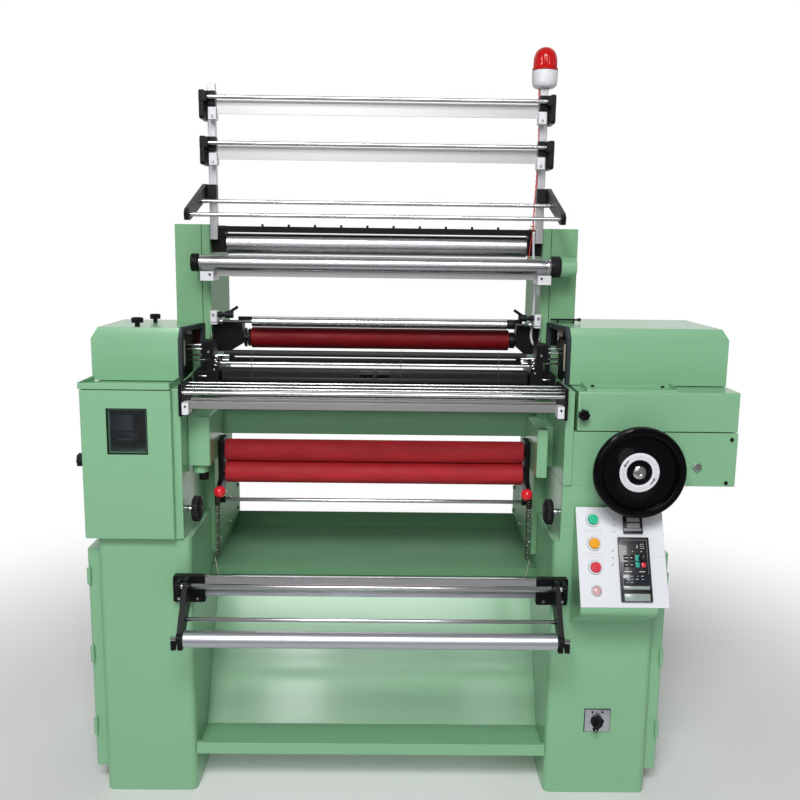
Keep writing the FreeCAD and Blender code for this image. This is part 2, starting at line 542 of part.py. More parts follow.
def hand_knob(sign):
    """Ribbed hand knob with a domed face, on a short shaft in the inner wall."""
    yz = (40.0, 755.0)
    dome = [(0, 0), (31.5, 0), (31.5, 15), (27, 20), (14, 23.5), (0, 24)]
    disc = turned(dome, V(455, *yz), V(-1, 0, 0), V(0, 1, 0))
    ribs = []
    for i in range(24):
        turn = math.radians(15 * i)
        place = (yz[0] + 31.0 * math.cos(turn), yz[1] + 31.0 * math.sin(turn))
        ribs.append(rod_x((440, 453), place, 2.6))
    knob = fused(disc, *ribs, rod_x((455, 474), yz, 8.0))
    return knob if sign > 0 else mirrored(knob)


def helix_point(top, axis, side, across, radius, pitch, turn):
    angle = 2 * math.pi * turn
    return top + axis * (pitch * turn) + side * (radius * math.cos(angle)) + across * (radius * math.sin(angle))


def helix_tangent(axis, side, across, radius, pitch, turn):
    angle = 2 * math.pi * turn
    way = (axis * (pitch / (2 * math.pi)) - side * (radius * math.sin(angle))
           + across * (radius * math.cos(angle)))
    way.normalize()
    return way


def arc_from(start, way, end):
    """Arc that leaves start along way and ends at end."""
    chord = end - start
    unit = V(chord)
    unit.normalize()
    half = math.acos(max(-1.0, min(1.0, way.dot(unit))))
    out = way - unit * way.dot(unit)
    out.normalize()
    middle = (start + end) * 0.5 + out * (chord.Length / 2 * math.tan(half / 2))
    return Part.Arc(start, middle, end).toShape()


def biarc(p0, t0, p1, t1):
    """Two arcs with one tangent where they meet."""
    step, ways = p1 - p0, t0 + t1
    k = 2 * (1 - t0.dot(t1))
    b = step.dot(ways)
    d = (-b + math.sqrt(b * b + k * step.dot(step))) / k
    joint = (p0 + t0 * d + p1 - t1 * d) * 0.5
    first = arc_from(p0, t0, joint)
    back = arc_from(p1, t1 * -1.0, joint)
    return [first, back]


SPRING_TURNS, SPRING_WIRE, SPRING_R = 24, 1.2, 6.0


def pull_spring():
    """Pull spring from the release lever down to the tension strip, with its straight hooks."""
    top, foot = V(400, 74, 770), V(390, 4, 640)
    axis = foot - top
    length = axis.Length
    axis.normalize()
    side = V(1, 0, 0) - axis * axis.x
    side.normalize()
    across = axis.cross(side)
    pitch = length / SPRING_TURNS
    edges = []
    for i in range(2 * SPRING_TURNS):
        a, b = i / 2, (i + 1) / 2
        edges += biarc(helix_point(top, axis, side, across, SPRING_R, pitch, a),
                       helix_tangent(axis, side, across, SPRING_R, pitch, a),
                       helix_point(top, axis, side, across, SPRING_R, pitch, b),
                       helix_tangent(axis, side, across, SPRING_R, pitch, b))
    start = helix_point(top, axis, side, across, SPRING_R, pitch, 0)
    way = helix_tangent(axis, side, across, SPRING_R, pitch, 0)
    lead_in = Part.LineSegment(start - way * 3.0, start).toShape()
    end = helix_point(top, axis, side, across, SPRING_R, pitch, SPRING_TURNS)
    end_way = helix_tangent(axis, side, across, SPRING_R, pitch, SPRING_TURNS)
    lead_out = Part.LineSegment(end, end + end_way * 3.0).toShape()
    path = Part.Wire(Part.__sortEdges__([lead_in, *edges, lead_out]))
    ring = Part.Wire([Part.makeCircle(SPRING_WIRE, start - way * 3.0, way)])
    coil = path.makePipeShell([ring], True, False)
    samples = path.discretize(Number=SPRING_TURNS * 24)
    apart = range(14, len(samples))
    gap = min((samples[i] - samples[i - step]).Length for step in apart for i in range(step, len(samples)))
    print(f"pull spring: least gap to itself {gap - 2 * SPRING_WIRE:.2f} mm, {SPRING_TURNS} turns")
    hook_top, hook_end = end, V(384.2, -15, TENSION_Z[1] + 1.6)
    hook = Part.makeCylinder(1.1, (hook_end - hook_top).Length, hook_top, hook_end - hook_top)
    return [coil, hook.cut(coil)]


def tension_block(x, sign):
    """Thin block on a pedestal's front, with the lug that carries the swinging frame."""
    y, z = TENSION_PIVOT_YZ
    plate = box(x, (-20, 0), TENSION_Z)
    plate = plate.makeFillet(5.0, edges_along(plate, V(0, 1, 0), lambda p: True))
    lug = box((471, 482), (y - 11, -19), (z - 10, z + 10))
    lug = lug.makeFillet(9.0, edges_along(lug, V(1, 0, 0), lambda p: p.y < y - 10))
    lug = lug.cut(rod_x((471, 480), TENSION_PIVOT_YZ, 6.5 + RUN))
    return fused(plate, lug if sign > 0 else mirrored(lug))


def tension_frame():
    blocks = [tension_block((-498, -418), -1), tension_block((412, 492), 1)]
    outline = [(-72, 600), (-66, 605), (-42, 605), (-36, 598), (-36, 540), (-106, 486), (-140, 474.5), (-159, 486)]
    arm = fused(prism_x(TENSION_ARM, outline), rod_x(TENSION_ARM, TENSION_ROLLER_YZ, 14.0))
    arm = arm.cut(rod_x(TENSION_ARM, TENSION_ROLLER_YZ, 6 + FREE))
    rods = [rod_x((-479, 479), TENSION_PIVOT_YZ, 6.5), rod_x((-TENSION_ARM[1], TENSION_ARM[1]), TENSION_ROD_YZ, 5.0)]
    frame = fused(arm, mirrored(arm), *rods)
    strip = box((-418, 412), (-18, -12), (546, TENSION_Z[1]))
    drum = roller((-445, 445), TENSION_ROLLER_YZ, TENSION_ROLLER_R, 6.0, (-477, 477))
    return {"tension_blocks": blocks, "tension_strip": strip, "tension_arms": frame, "tension_roller": drum}


# ---------------------------------------------------------------- drive
def drive():
    y, z = MAIN_SHAFT_YZ
    shaft = fused(rod_x((-640, 893), MAIN_SHAFT_YZ, MAIN_SHAFT_R), rod_x((-640, -560), MAIN_SHAFT_YZ, 42.0),
                  rod_x((627, 651), MAIN_SHAFT_YZ, 65.5), rod_x(BELT_X, MAIN_SHAFT_YZ, PULLEY_R))
    wx, wz = WHEEL_XZ
    profile = [(0, 4), (17, 4), (19, -1), (30, -1), (40, 4.6), (84, 4.6), (89, 2), (92, -10), (96, -13), (107, -13),
               (112, -8), (112, 5), (107, 12), (97, 13), (88, 11), (40, 11), (28, 16), (24, 44), (12, 44), (12, 305), (0, 305)]
    wheel = turned(profile, V(wx, -75, wz), V(0, 1, 0))
    gear = rod_y((278, 302), WHEEL_XZ, 45.0)
    wheel = fused(wheel, rod_y((229, 302), WHEEL_XZ, 12.0), gear)
    my, mz = MOTOR_YZ
    body = rod_x((478, 652), MOTOR_YZ, MOTOR_R - 5)
    fins = [rod_x((490 + 10 * i, 494 + 10 * i), MOTOR_YZ, MOTOR_R) for i in range(15)]
    feet = box((510, 620), (my - 70, my + 70), (PLATE, PLATE + 12))
    saddle = box((520, 610), (my - 40, my + 40), (PLATE + 12, mz - 40))
    cover = box((520, 600), (my - 118, my - 50), (mz - 30, mz + 30))
    stator = fused(body, *fins, feet, saddle, cover)
    stator = stator.cut(rod_x((640, 653), MOTOR_YZ, 10 + RUN))
    rotor = fused(rod_x((641, 704), MOTOR_YZ, 10.0), rod_x(BELT_X, MOTOR_YZ, MOTOR_PULLEY_R))
    return {"main_shaft": shaft, "handwheel": wheel, "motor": stator, "motor_pulley": rotor, "drive_belt": belt()}


def belt():
    """Closed flat belt, 4 mm thick, just clear of both pulleys."""
    def loop(extra):
        lower, upper = MOTOR_PULLEY_R + extra, PULLEY_R + extra
        lift = MAIN_SHAFT_YZ[1] - MOTOR_YZ[1]
        lean = math.asin((upper - lower) / lift)
        x = BELT_X[0] + 2
        y = MOTOR_YZ[0]

        def at(height, radius, angle):
            return V(x, y + radius * math.cos(angle), height + radius * math.sin(angle))

        low, high = MOTOR_YZ[1], MAIN_SHAFT_YZ[1]
        right_low, right_high = at(low, lower, -lean), at(high, upper, -lean)
        left_low, left_high = at(low, lower, math.pi + lean), at(high, upper, math.pi + lean)
        return Part.Wire([Part.LineSegment(right_low, right_high).toShape(),
                          Part.Arc(right_high, at(high, upper, math.pi / 2), left_high).toShape(),
                          Part.LineSegment(left_high, left_low).toShape(),
                          Part.Arc(left_low, at(low, lower, -math.pi / 2), right_low).toShape()])

    ring = Part.Face(loop(FREE + 4.0)).cut(Part.Face(loop(FREE)))
    return ring.extrude(V(BELT_X[1] - BELT_X[0] - 4, 0, 0))


# ---------------------------------------------------------------- console and switch
def slope_frame():
    """Placement of the panel: local X across, Y up the slope and Z out of the panel."""
    up = V(0, CONSOLE_TOP_YZ[0] - CONSOLE_LOW_YZ[0], CONSOLE_TOP_YZ[1] - CONSOLE_LOW_YZ[1])
    angle = math.degrees(math.atan2(up.z, up.y))
    return FreeCAD.Placement(V(0, *CONSOLE_TOP_YZ), FreeCAD.Rotation(V(1, 0, 0), angle))


def on_slope(shape):
    moved = shape.copy()
    moved.Placement = slope_frame().multiply(moved.Placement)
    return moved


def console():
    outline = [(0, 783), CONSOLE_TOP_YZ, CONSOLE_LOW_YZ, (-121, 552), (-112, 541), (-96, 532), (0, 478)]
    room = [(1, 780.5), (-8.5, 780.5), (-119.5, 566.5), (-118.5, 553), (-110.5, 543), (-95, 534.5), (1, 481)]
    case = prism_x(CONSOLE_X, outline).cut(prism_x((CONSOLE_X[0] + SHEET, CONSOLE_X[1] - SHEET), room))
    panel = box((CONSOLE_X[0], PANEL_RIGHT), (-244, 0), (0, 2))
    bezels = []
    for step, radius in (*[(step, BUTTON_R) for step in BUTTON_STEPS], (LAMP_STEP, LAMP_R)):
        hole = rod_z((-6, 3), (BUTTON_X, -step), radius + 0.4)
        panel = panel.cut(hole)
        case = case.cut(on_slope(hole))
        ring = rod_z((2, 7), (BUTTON_X, -step), radius + 4.5)
        bezels.append(ring.cut(rod_z((2, 7), (BUTTON_X, -step), radius + 0.4)))
    lamp = rod_z((0, 9), (BUTTON_X, -LAMP_STEP), LAMP_R)
    counter = box((617, 665), (-64, -20), (2, 9))
    keypad = box((601, 677), (-231, -75), (2, 11))
    speed_xy = (SPEED_XS[0], -SPEED_XS[1])
    keypad = keypad.cut(rod_z((4, 12), speed_xy, 4 + RUN))
    speed = fused(rod_z((11.3, 24), speed_xy, 9.0), rod_z((4.2, 11.4), speed_xy, 4.0))
    made = {"console_case": case, "console_panel": on_slope(panel), "keypad_module": [on_slope(counter), on_slope(keypad)],
            "speed_knob": on_slope(speed)}
    for name, step in zip(("start_button", "jog_button", "stop_button"), BUTTON_STEPS):
        made[name] = on_slope(rod_z((5, 13), (BUTTON_X, -step), BUTTON_R).fuse(rod_z((-3, 5), (BUTTON_X, -step), 8.0)))
    plate = box((555, 621), (-4, 0), (176, 237))
    plate = plate.makeFillet(3.0, edges_along(plate, V(0, 1, 0), lambda p: True))
    plate = plate.cut(rod_y((-5, 1), (586, 206), 7 + RUN))
    switch = fused(rod_y((-18, -4.3), (586, 206), 16.0), rod_y((-5, 0), (586, 206), 7.0),
                   box((580, 592), (-30, -18), (188, 224)))
    made["switch_and_bezels"] = [plate, *[on_slope(ring) for ring in bezels], on_slope(lamp)]
    made["main_switch"] = switch
    return made


# ---------------------------------------------------------------- the machine
def machine():
    nodes = {}
    nodes.update(pedestals())
    nodes.update(pillars())
    nodes.update(panels())
    nodes["left_cabinet"] = cabinet()
    nodes.update(cabinet_door())
    nodes.update(hoods())
    nodes["gearbox_case"] = gearbox()
    nodes["gearbox_hood"] = gearbox_hood()
    nodes["left_side_door"] = side_door(PED_LEFT)
    nodes["right_side_door"] = side_door(PED_RIGHT)
    beam = box((-PILLAR_IN, PILLAR_IN), (255, 315), (905, 970))
    nodes["cross_beam"] = beam.cut(box((-PILLAR_IN, PILLAR_IN), (260, 310), (910, 965)))
    nodes.update(posts_and_bars())
    nodes.update(beacon())
    nodes["beacon_cable"] = beacon_cable()
    nodes.update(rollers())
    nodes["roller_bearings"] = roller_bearings()
    nodes["roller_housings"] = roller_housings()
    nodes["presser_bar"] = presser_bar()
    nodes["bed_beam"] = bed()
    nodes["front_rods"] = front_rods()
    nodes["needle_comb"] = needle_comb()
    nodes["weft_bar"] = weft_bar()
    nodes["release_levers"] = release_levers()
    nodes["left_hand_knob"] = hand_knob(-1)
    nodes["right_hand_knob"] = hand_knob(1)
    coil, hook = pull_spring()
    nodes["pull_springs"] = [coil, hook, mirrored(coil), mirrored(hook)]
    nodes.update(tension_frame())
    nodes.update(drive())
    nodes.update(console())
    return nodes


def main():
    os.makedirs("parts", exist_ok=True)
    bounds = FreeCAD.BoundBox()
    for name, shapes in machine().items():
        solids = shapes if isinstance(shapes, list) else [shapes]
        shape = solids[0] if len(solids) == 1 else Part.makeCompound(solids)
        shape.translate(V(-ORIGIN_X, -ORIGIN_Y, 0))
        bounds.add(shape.BoundBox)
        if not shape.isValid():
            print("not valid:", name)
        shape.exportStep(f"parts/{name}.step")
    print("box", [round(v, 1) for v in (bounds.XMin, bounds.XMax, bounds.YMin, bounds.YMax, bounds.ZMin, bounds.ZMax)])


main()
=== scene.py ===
"""Looks of a warp knitting (crochet) machine for narrow fabrics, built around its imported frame.

Places are given in millimetres from the machine's middle: X = 0 between the pillars, Y = 0 at
the pedestals' front faces and Z = 0 at the floor. Shape.piece() moves them into the shared frame.
"""

import logging
import math
from dataclasses import dataclass
from enum import Enum

import bmesh
import bpy
from mathutils import Matrix, Vector


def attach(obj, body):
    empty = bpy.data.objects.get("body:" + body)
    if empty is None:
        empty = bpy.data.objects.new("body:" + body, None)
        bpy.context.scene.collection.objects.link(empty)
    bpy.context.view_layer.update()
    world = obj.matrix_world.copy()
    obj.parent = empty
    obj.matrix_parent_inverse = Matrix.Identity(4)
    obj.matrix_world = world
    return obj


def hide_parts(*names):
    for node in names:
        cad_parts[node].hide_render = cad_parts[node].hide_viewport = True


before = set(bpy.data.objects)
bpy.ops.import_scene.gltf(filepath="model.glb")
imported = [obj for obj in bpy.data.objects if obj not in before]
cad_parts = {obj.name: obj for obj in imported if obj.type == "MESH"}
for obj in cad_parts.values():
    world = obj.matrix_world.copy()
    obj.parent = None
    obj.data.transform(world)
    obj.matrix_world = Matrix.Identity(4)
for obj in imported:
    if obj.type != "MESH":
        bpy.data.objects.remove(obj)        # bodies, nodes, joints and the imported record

Colour = tuple[float, float, float]
Point = tuple[float, float, float]
Flat = tuple[float, float]

LOG = logging.getLogger("machine")
MM = 0.001
ORIGIN = Vector((86.0, 244.0, 0.0))      # the row's origin, seen from the machine's middle
TO_ROW = Matrix.Scale(MM, 4) @ Matrix.Translation(-ORIGIN)
SMOOTH_UNDER = math.radians(32.0)        # flatter edges than this are shaded smooth
ROUND_OVER = math.radians(50.0)          # sharper edges than this get their radius
FLAT_UNDER = math.radians(0.4)           # faces that meet flatter than this become one
WELD_REACH = 0.000004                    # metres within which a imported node's points are one
DOUBLE_REACH = 0.002                     # the same for a taken solid, in millimetres
NOISE_RANGE = (0.3, 0.7)                 # values that a noise pattern seldom leaves
WHITE = (1.0, 1.0, 1.0, 1.0)


# ---------------------------------------------------------------- finishes
class Grain(Enum):
    """How a surface was worked, as the pattern's steps per metre along X, Y and Z."""

    PLAIN = (160.0, 160.0, 160.0)
    TURNED = (220.0, 6.0, 6.0)
    DRAWN = (3.0, 220.0, 220.0)
    UPRIGHT = (220.0, 220.0, 3.0)


def shade(colour: Colour, factor: float) -> tuple[float, float, float, float]:
    """Scales a colour.

    Args:
        colour: Linear red, green and blue.
        factor: What each is multiplied by.

    Returns:
        The scaled colour with full opacity.
    """
    return (*[min(1.0, part * factor) for part in colour], 1.0)


def add_node(tree: bpy.types.NodeTree, kind: str, inputs: dict[str | int, object],
             **traits: str | bool) -> bpy.types.Node:
    """Adds a shader node and feeds its inputs.

    Args:
        tree: The tree that it is added to.
        kind: Its type's name after "ShaderNode".
        inputs: Value, or socket that feeds it, of each input by its name or place.
        **traits: The node's own settings.

    Returns:
        The node.
    """
    node = tree.nodes.new(f"ShaderNode{kind}")
    for trait, value in traits.items():
        setattr(node, trait, value)
    for place, value in inputs.items():
        if isinstance(value, bpy.types.NodeSocket):
            tree.links.new(value, node.inputs[place])
        else:
            node.inputs[place].default_value = value
    return node


class Paint:
    """Node tree of one material, wired round a Principled BSDF on Object coordinates."""

    def __init__(self, name: str) -> None:
        """Starts a material.

        Args:
            name: The material's name.
        """
        self.material = bpy.data.materials.new(name)
        self.material.use_nodes = True
        self.tree = self.material.node_tree
        self.shader = self.tree.nodes["Principled BSDF"]
        self.place = self.tree.nodes.new("ShaderNodeTexCoord").outputs["Object"]

    def constant(self, socket: str, value: float | Colour) -> None:
        """Sets one of the shader's own sockets.

        Args:
            socket: The socket's name.
            value: A number or a linear colour.
        """
        whole = (*value, 1.0) if isinstance(value, tuple) else value
        self.shader.inputs[socket].default_value = whole

    def noise(self, steps: Point, detail: float = 3.0) -> bpy.types.NodeSocket:
        """Adds a noise pattern.

        Args:
            steps: The pattern's steps per metre along X, Y and Z.
            detail: Octaves of the noise.

        Returns:
            The noise's value socket.
        """
        mapping = add_node(self.tree, "Mapping", {"Vector": self.place, "Scale": steps})
        pattern = {"Vector": mapping.outputs["Vector"], "Scale": 1.0, "Detail": detail}
        return add_node(self.tree, "TexNoise", pattern).outputs["Fac"]

    def tint(self, factor: bpy.types.NodeSocket, colour: Colour, dark: float, light: float) -> None:
        """Lets the base colour drift between a darker and a lighter shade.

        Args:
            factor: Socket that says where it is which.
            colour: The middle colour.
            dark: Its factor where the socket is low.
            light: Its factor where the socket is high.
        """
        ramp = add_node(self.tree, "ValToRGB", {"Fac": factor})
        for stop, place, strength in zip(ramp.color_ramp.elements, NOISE_RANGE, (dark, light)):
            stop.position = place
            stop.color = shade(colour, strength)
        self.tree.links.new(ramp.outputs["Color"], self.shader.inputs["Base Color"])

    def rough(self, factor: bpy.types.NodeSocket, mean: float, low: float, high: float) -> None:
        """Lets the roughness vary.

        Args:
            factor: Socket that says where it is which.
            mean: The mean roughness.
            low: Its factor where the socket is low.
            high: Its factor where the socket is high.
        """
        limits = {"From Min": NOISE_RANGE[0], "From Max": NOISE_RANGE[1],
                  "To Min": mean * low, "To Max": mean * high}
        spread = add_node(self.tree, "MapRange", {"Value": factor, **limits})
        self.tree.links.new(spread.outputs["Result"], self.shader.inputs["Roughness"])

    def bump(self, height: bpy.types.NodeSocket, depth: float, strength: float) -> None:
        """Adds relief.

        Args:
            height: Socket with the relief's height.
            depth: Its height in metres.
            strength: How much of it shows.
        """
        relief = add_node(self.tree, "Bump", {"Height": height, "Distance": depth, "Strength": strength})
        self.tree.links.new(relief.outputs["Normal"], self.shader.inputs["Normal"])


@dataclass(frozen=True)
class Finish:
    """What every finish has: its name, the record's slot, its linear colour and its mean roughness."""

    name: str
    slot: str
    colour: Colour
    roughness: float

    def material(self) -> bpy.types.Material:
        """Hands out the finish's material, mixed at its first use."""
        known = bpy.data.materials.get(self.name)
        if known:
            return known
        paint = Paint(self.name)
        self.mix(paint)
        return paint.material

    def mix(self, paint: Paint) -> None:
        """Wires the finish into a new material.

        Args:
            paint: The material's node tree.
        """
        paint.tint(paint.noise(Grain.PLAIN.value), self.colour, 0.95, 1.05)
        paint.constant("Roughness", self.roughness)


@dataclass(frozen=True)
class Enamel(Finish):
    """Stove enamel on sheet metal, with a slight orange peel."""

    peel: float = 0.00002
    coat: float = 0.22

    def mix(self, paint: Paint) -> None:
        """Wires drifting colour, uneven gloss and orange peel.

        Args:
            paint: The material's node tree.
        """
        paint.tint(paint.noise((1.3, 1.3, 1.3), 1.0), self.colour, 0.98, 1.02)
        paint.rough(paint.noise((5.0, 5.0, 5.0), 1.0), self.roughness, 0.95, 1.08)
        paint.bump(paint.noise((260.0, 260.0, 260.0), 1.0), self.peel, 0.25)
        paint.constant("Coat Weight", self.coat)
        paint.constant("Coat Roughness", 0.12)
        paint.constant("Specular IOR Level", 0.4 if self.coat else 0.15)


@dataclass(frozen=True)
class Metal(Finish):
    """Bare metal with the marks of how it was worked."""

    grain: Grain = Grain.PLAIN

    def mix(self, paint: Paint) -> None:
        """Wires worked marks into the colour.

        Args:
            paint: The material's node tree.
        """
        marks = paint.noise(self.grain.value, 4.0)
        paint.constant("Metallic", 1.0)
        paint.tint(marks, self.colour, 0.985, 1.01)
        paint.constant("Roughness", self.roughness)


@dataclass(frozen=True)
class Moulded(Finish):
    """Moulded plastic with a fine eroded skin; a polished one has a coat."""

    coat: float = 0.0
    skin: float = 0.00002
    shine: float = 0.35

    def mix(self, paint: Paint) -> None:
        """Wires the skin's grain.

        Args:
            paint: The material's node tree.
        """
        paint.tint(paint.noise((40.0, 40.0, 40.0)), self.colour, 0.94, 1.06)
        paint.rough(paint.noise((90.0, 90.0, 90.0)), self.roughness, 0.85, 1.15)
        paint.bump(paint.noise((1500.0, 1500.0, 1500.0), 1.0), self.skin, 0.35)
        paint.constant("Coat Weight", self.coat)
        paint.constant("Coat Roughness", 0.06)
        paint.constant("Specular IOR Level", self.shine)


@dataclass(frozen=True)
class Rubber(Finish):
    """Ground rubber with faint grinding rings and dust."""

    def mix(self, paint: Paint) -> None:
        """Wires the dust and the grinding rings.

        Args:
            paint: The material's node tree.
        """
        paint.tint(paint.noise((9.0, 30.0, 30.0), 5.0), self.colour, 0.86, 1.12)
        paint.rough(paint.noise((25.0, 25.0, 25.0)), self.roughness, 0.85, 1.15)
        paint.bump(paint.noise(Grain.TURNED.value), 0.00003, 0.5)
        paint.constant("Specular IOR Level", 0.22)


@dataclass(frozen=True)
class Clear(Finish):
    """Glass or clear plastic, tinted by its colour."""

    through: float = 0.9

    def mix(self, paint: Paint) -> None:
        """Wires a clear body with faint smears.

        Args:
            paint: The material's node tree.
        """
        paint.constant("Base Color", self.colour)
        paint.rough(paint.noise((22.0, 22.0, 22.0)), self.roughness, 0.5, 1.6)
        paint.constant("Transmission Weight", self.through)
        paint.constant("IOR", 1.45)
        paint.constant("Specular IOR Level", 0.3)


# name, slot, colour and roughness, then what the kind of finish adds
GREEN = Enamel("green enamel", "green_paint", (0.235, 0.480, 0.280), 0.30)
# Darker copy of the green enamel for the pillars, which is painted shade; it also has less gloss.
PAINTED_SHADE_PILLAR_GREEN = Enamel("painted shade pillar enamel", "green_paint", (0.185, 0.395, 0.210), 0.55, 0.00002, 0.04)
# Darker copy of the green enamel: painted shade for the cross beam, the cloth deck and the compartment's rim,
# which lie in shade.
PAINTED_SHADE_GREEN = Enamel("painted shade green enamel", "green_paint", (0.125, 0.275, 0.150), 0.62, 0.00002, 0.0)
BLACK_PAINT = Enamel("black satin paint", "black_metal", (0.006, 0.006, 0.007), 0.45, 0.00001, 0.0)
SEAM = Moulded("dark green sealant", "green_paint", (0.018, 0.050, 0.024), 0.6)
SLATE = Enamel("slate grey paint", "black_metal", (0.045, 0.047, 0.050), 0.45, 0.00001, 0.05)
STEEL = Metal("polished steel", "bright_steel", (0.56, 0.56, 0.58), 0.20, Grain.DRAWN)
ROLLER_STEEL = Metal("ground roller steel", "bright_steel", (0.46, 0.46, 0.48), 0.27, Grain.TURNED)
SATIN = Metal("satin chrome", "bright_steel", (0.55, 0.57, 0.61), 0.36, Grain.TURNED)
ALUMINIUM = Metal("brushed aluminium", "aluminium_bar", (0.49, 0.48, 0.48), 0.40, Grain.DRAWN)
POST_SKIN = Metal("anodised post", "aluminium_bar", (0.50, 0.50, 0.52), 0.42, Grain.UPRIGHT)
OILED = Metal("oiled spring steel", "spring_steel", (0.14, 0.13, 0.12), 0.34)
NEEDLE = Metal("needle steel", "bright_steel", (0.060, 0.057, 0.054), 0.42, Grain.UPRIGHT)
BLACK_PLASTIC = Moulded("black plastic", "black_plastic", (0.006, 0.006, 0.007), 0.45, 0.0, 0.00002, 0.22)
BLACK_GLOSS = Moulded("polished black plastic", "black_gloss", (0.002, 0.002, 0.003), 0.12, 0.12, 0.000002,
                      0.10)
GASKET = Moulded("black rubber strip", "black_plastic", (0.007, 0.007, 0.008), 0.58, 0.0, 0.00002, 0.2)
EDGE_TRIM = Moulded("edge trim rubber", "black_plastic", (0.022, 0.032, 0.036), 0.55)
WHITE_PLASTIC = Moulded("white plastic", "white_plastic", (0.74, 0.75, 0.78), 0.40)
IVORY = Moulded("ivory plastic", "white_plastic", (0.60, 0.54, 0.42), 0.42)
RED_RUBBER = Rubber("red rubber", "red_rubber", (0.44, 0.022, 0.030), 0.60)
# Darker copy of the red rubber for the rear roller, which is painted shade.
PAINTED_SHADE_RED_RUBBER = Rubber("painted shade red rubber", "red_rubber", (0.180, 0.003, 0.006), 0.62)
BELT_RUBBER = Rubber("belt rubber", "belt_rubber", (0.020, 0.020, 0.020), 0.70)
PANE = Clear("window pane", "window_glass", (0.42, 0.45, 0.50), 0.05, 1.0)
RED_LENS = Clear("red lens", "red_lens", (0.75, 0.012, 0.012), 0.12, 0.45)
PANEL = Enamel("white panel", "white_plastic", (0.76, 0.78, 0.82), 0.34, 0.00001)
PAD = Moulded("dark keypad", "grey_pad", (0.012, 0.013, 0.015), 0.34, 0.3)
NAVY = Moulded("navy film", "black_plastic", (0.010, 0.016, 0.026), 0.22, 0.4)
MIST = Moulded("grey green film", "grey_pad", (0.30, 0.36, 0.33), 0.25, 0.3)
LABEL = Moulded("white label", "white_plastic", (0.74, 0.74, 0.78), 0.45, 0.0, 0.000002)
INK = Moulded("black ink", "black_plastic", (0.010, 0.010, 0.012), 0.5, 0.0, 0.000002)
GREY_INK = Moulded("grey ink", "grey_pad", (0.30, 0.31, 0.33), 0.5, 0.0, 0.000002)
FAINT_INK = Moulded("faint grey ink", "white_plastic", (0.50, 0.51, 0.54), 0.5, 0.0, 0.000002)
BUTTON_GREEN = Moulded("green button", "green_button", (0.010, 0.52, 0.27), 0.25, 0.4, 0.000004)
BUTTON_YELLOW = Moulded("yellow button", "yellow_button", (0.90, 0.38, 0.006), 0.25, 0.4, 0.000004)
BUTTON_RED = Moulded("red button", "red_button", (0.68, 0.030, 0.055), 0.25, 0.4, 0.000004)
BALL_RED = Moulded("red ball", "red_ball", (0.72, 0.012, 0.025), 0.14, 0.6, 0.000004)
LAMP_PINK = Moulded("pink lamp", "white_plastic", (0.66, 0.40, 0.40), 0.25, 0.4, 0.000004)
KEY_TEAL = Moulded("teal key", "green_button", (0.02, 0.33, 0.27), 0.35)
DIGIT = Moulded("pale digits", "white_plastic", (0.55, 0.56, 0.52), 0.35)
MOTOR_GREY = Enamel("motor grey", "motor_grey", (0.12, 0.14, 0.16), 0.45)
BLUE_GREY = Enamel("blue grey paint", "motor_grey", (0.055, 0.055, 0.085), 0.45)
BROWN = Enamel("brown grey primer", "black_metal", (0.090, 0.072, 0.062), 0.5, 0.00001, 0.0)
DARK_RED = Enamel("dark red paint", "black_metal", (0.060, 0.006, 0.006), 0.5, 0.00001, 0.0)
WIRE_RED = Moulded("red wire", "cable_sheath", (0.62, 0.03, 0.03), 0.35)
WIRE_YELLOW = Moulded("yellow wire", "cable_sheath", (0.70, 0.36, 0.03), 0.35)
SLEEVE = Moulded("white sleeve", "white_plastic", (0.72, 0.73, 0.75), 0.3, 0.3)


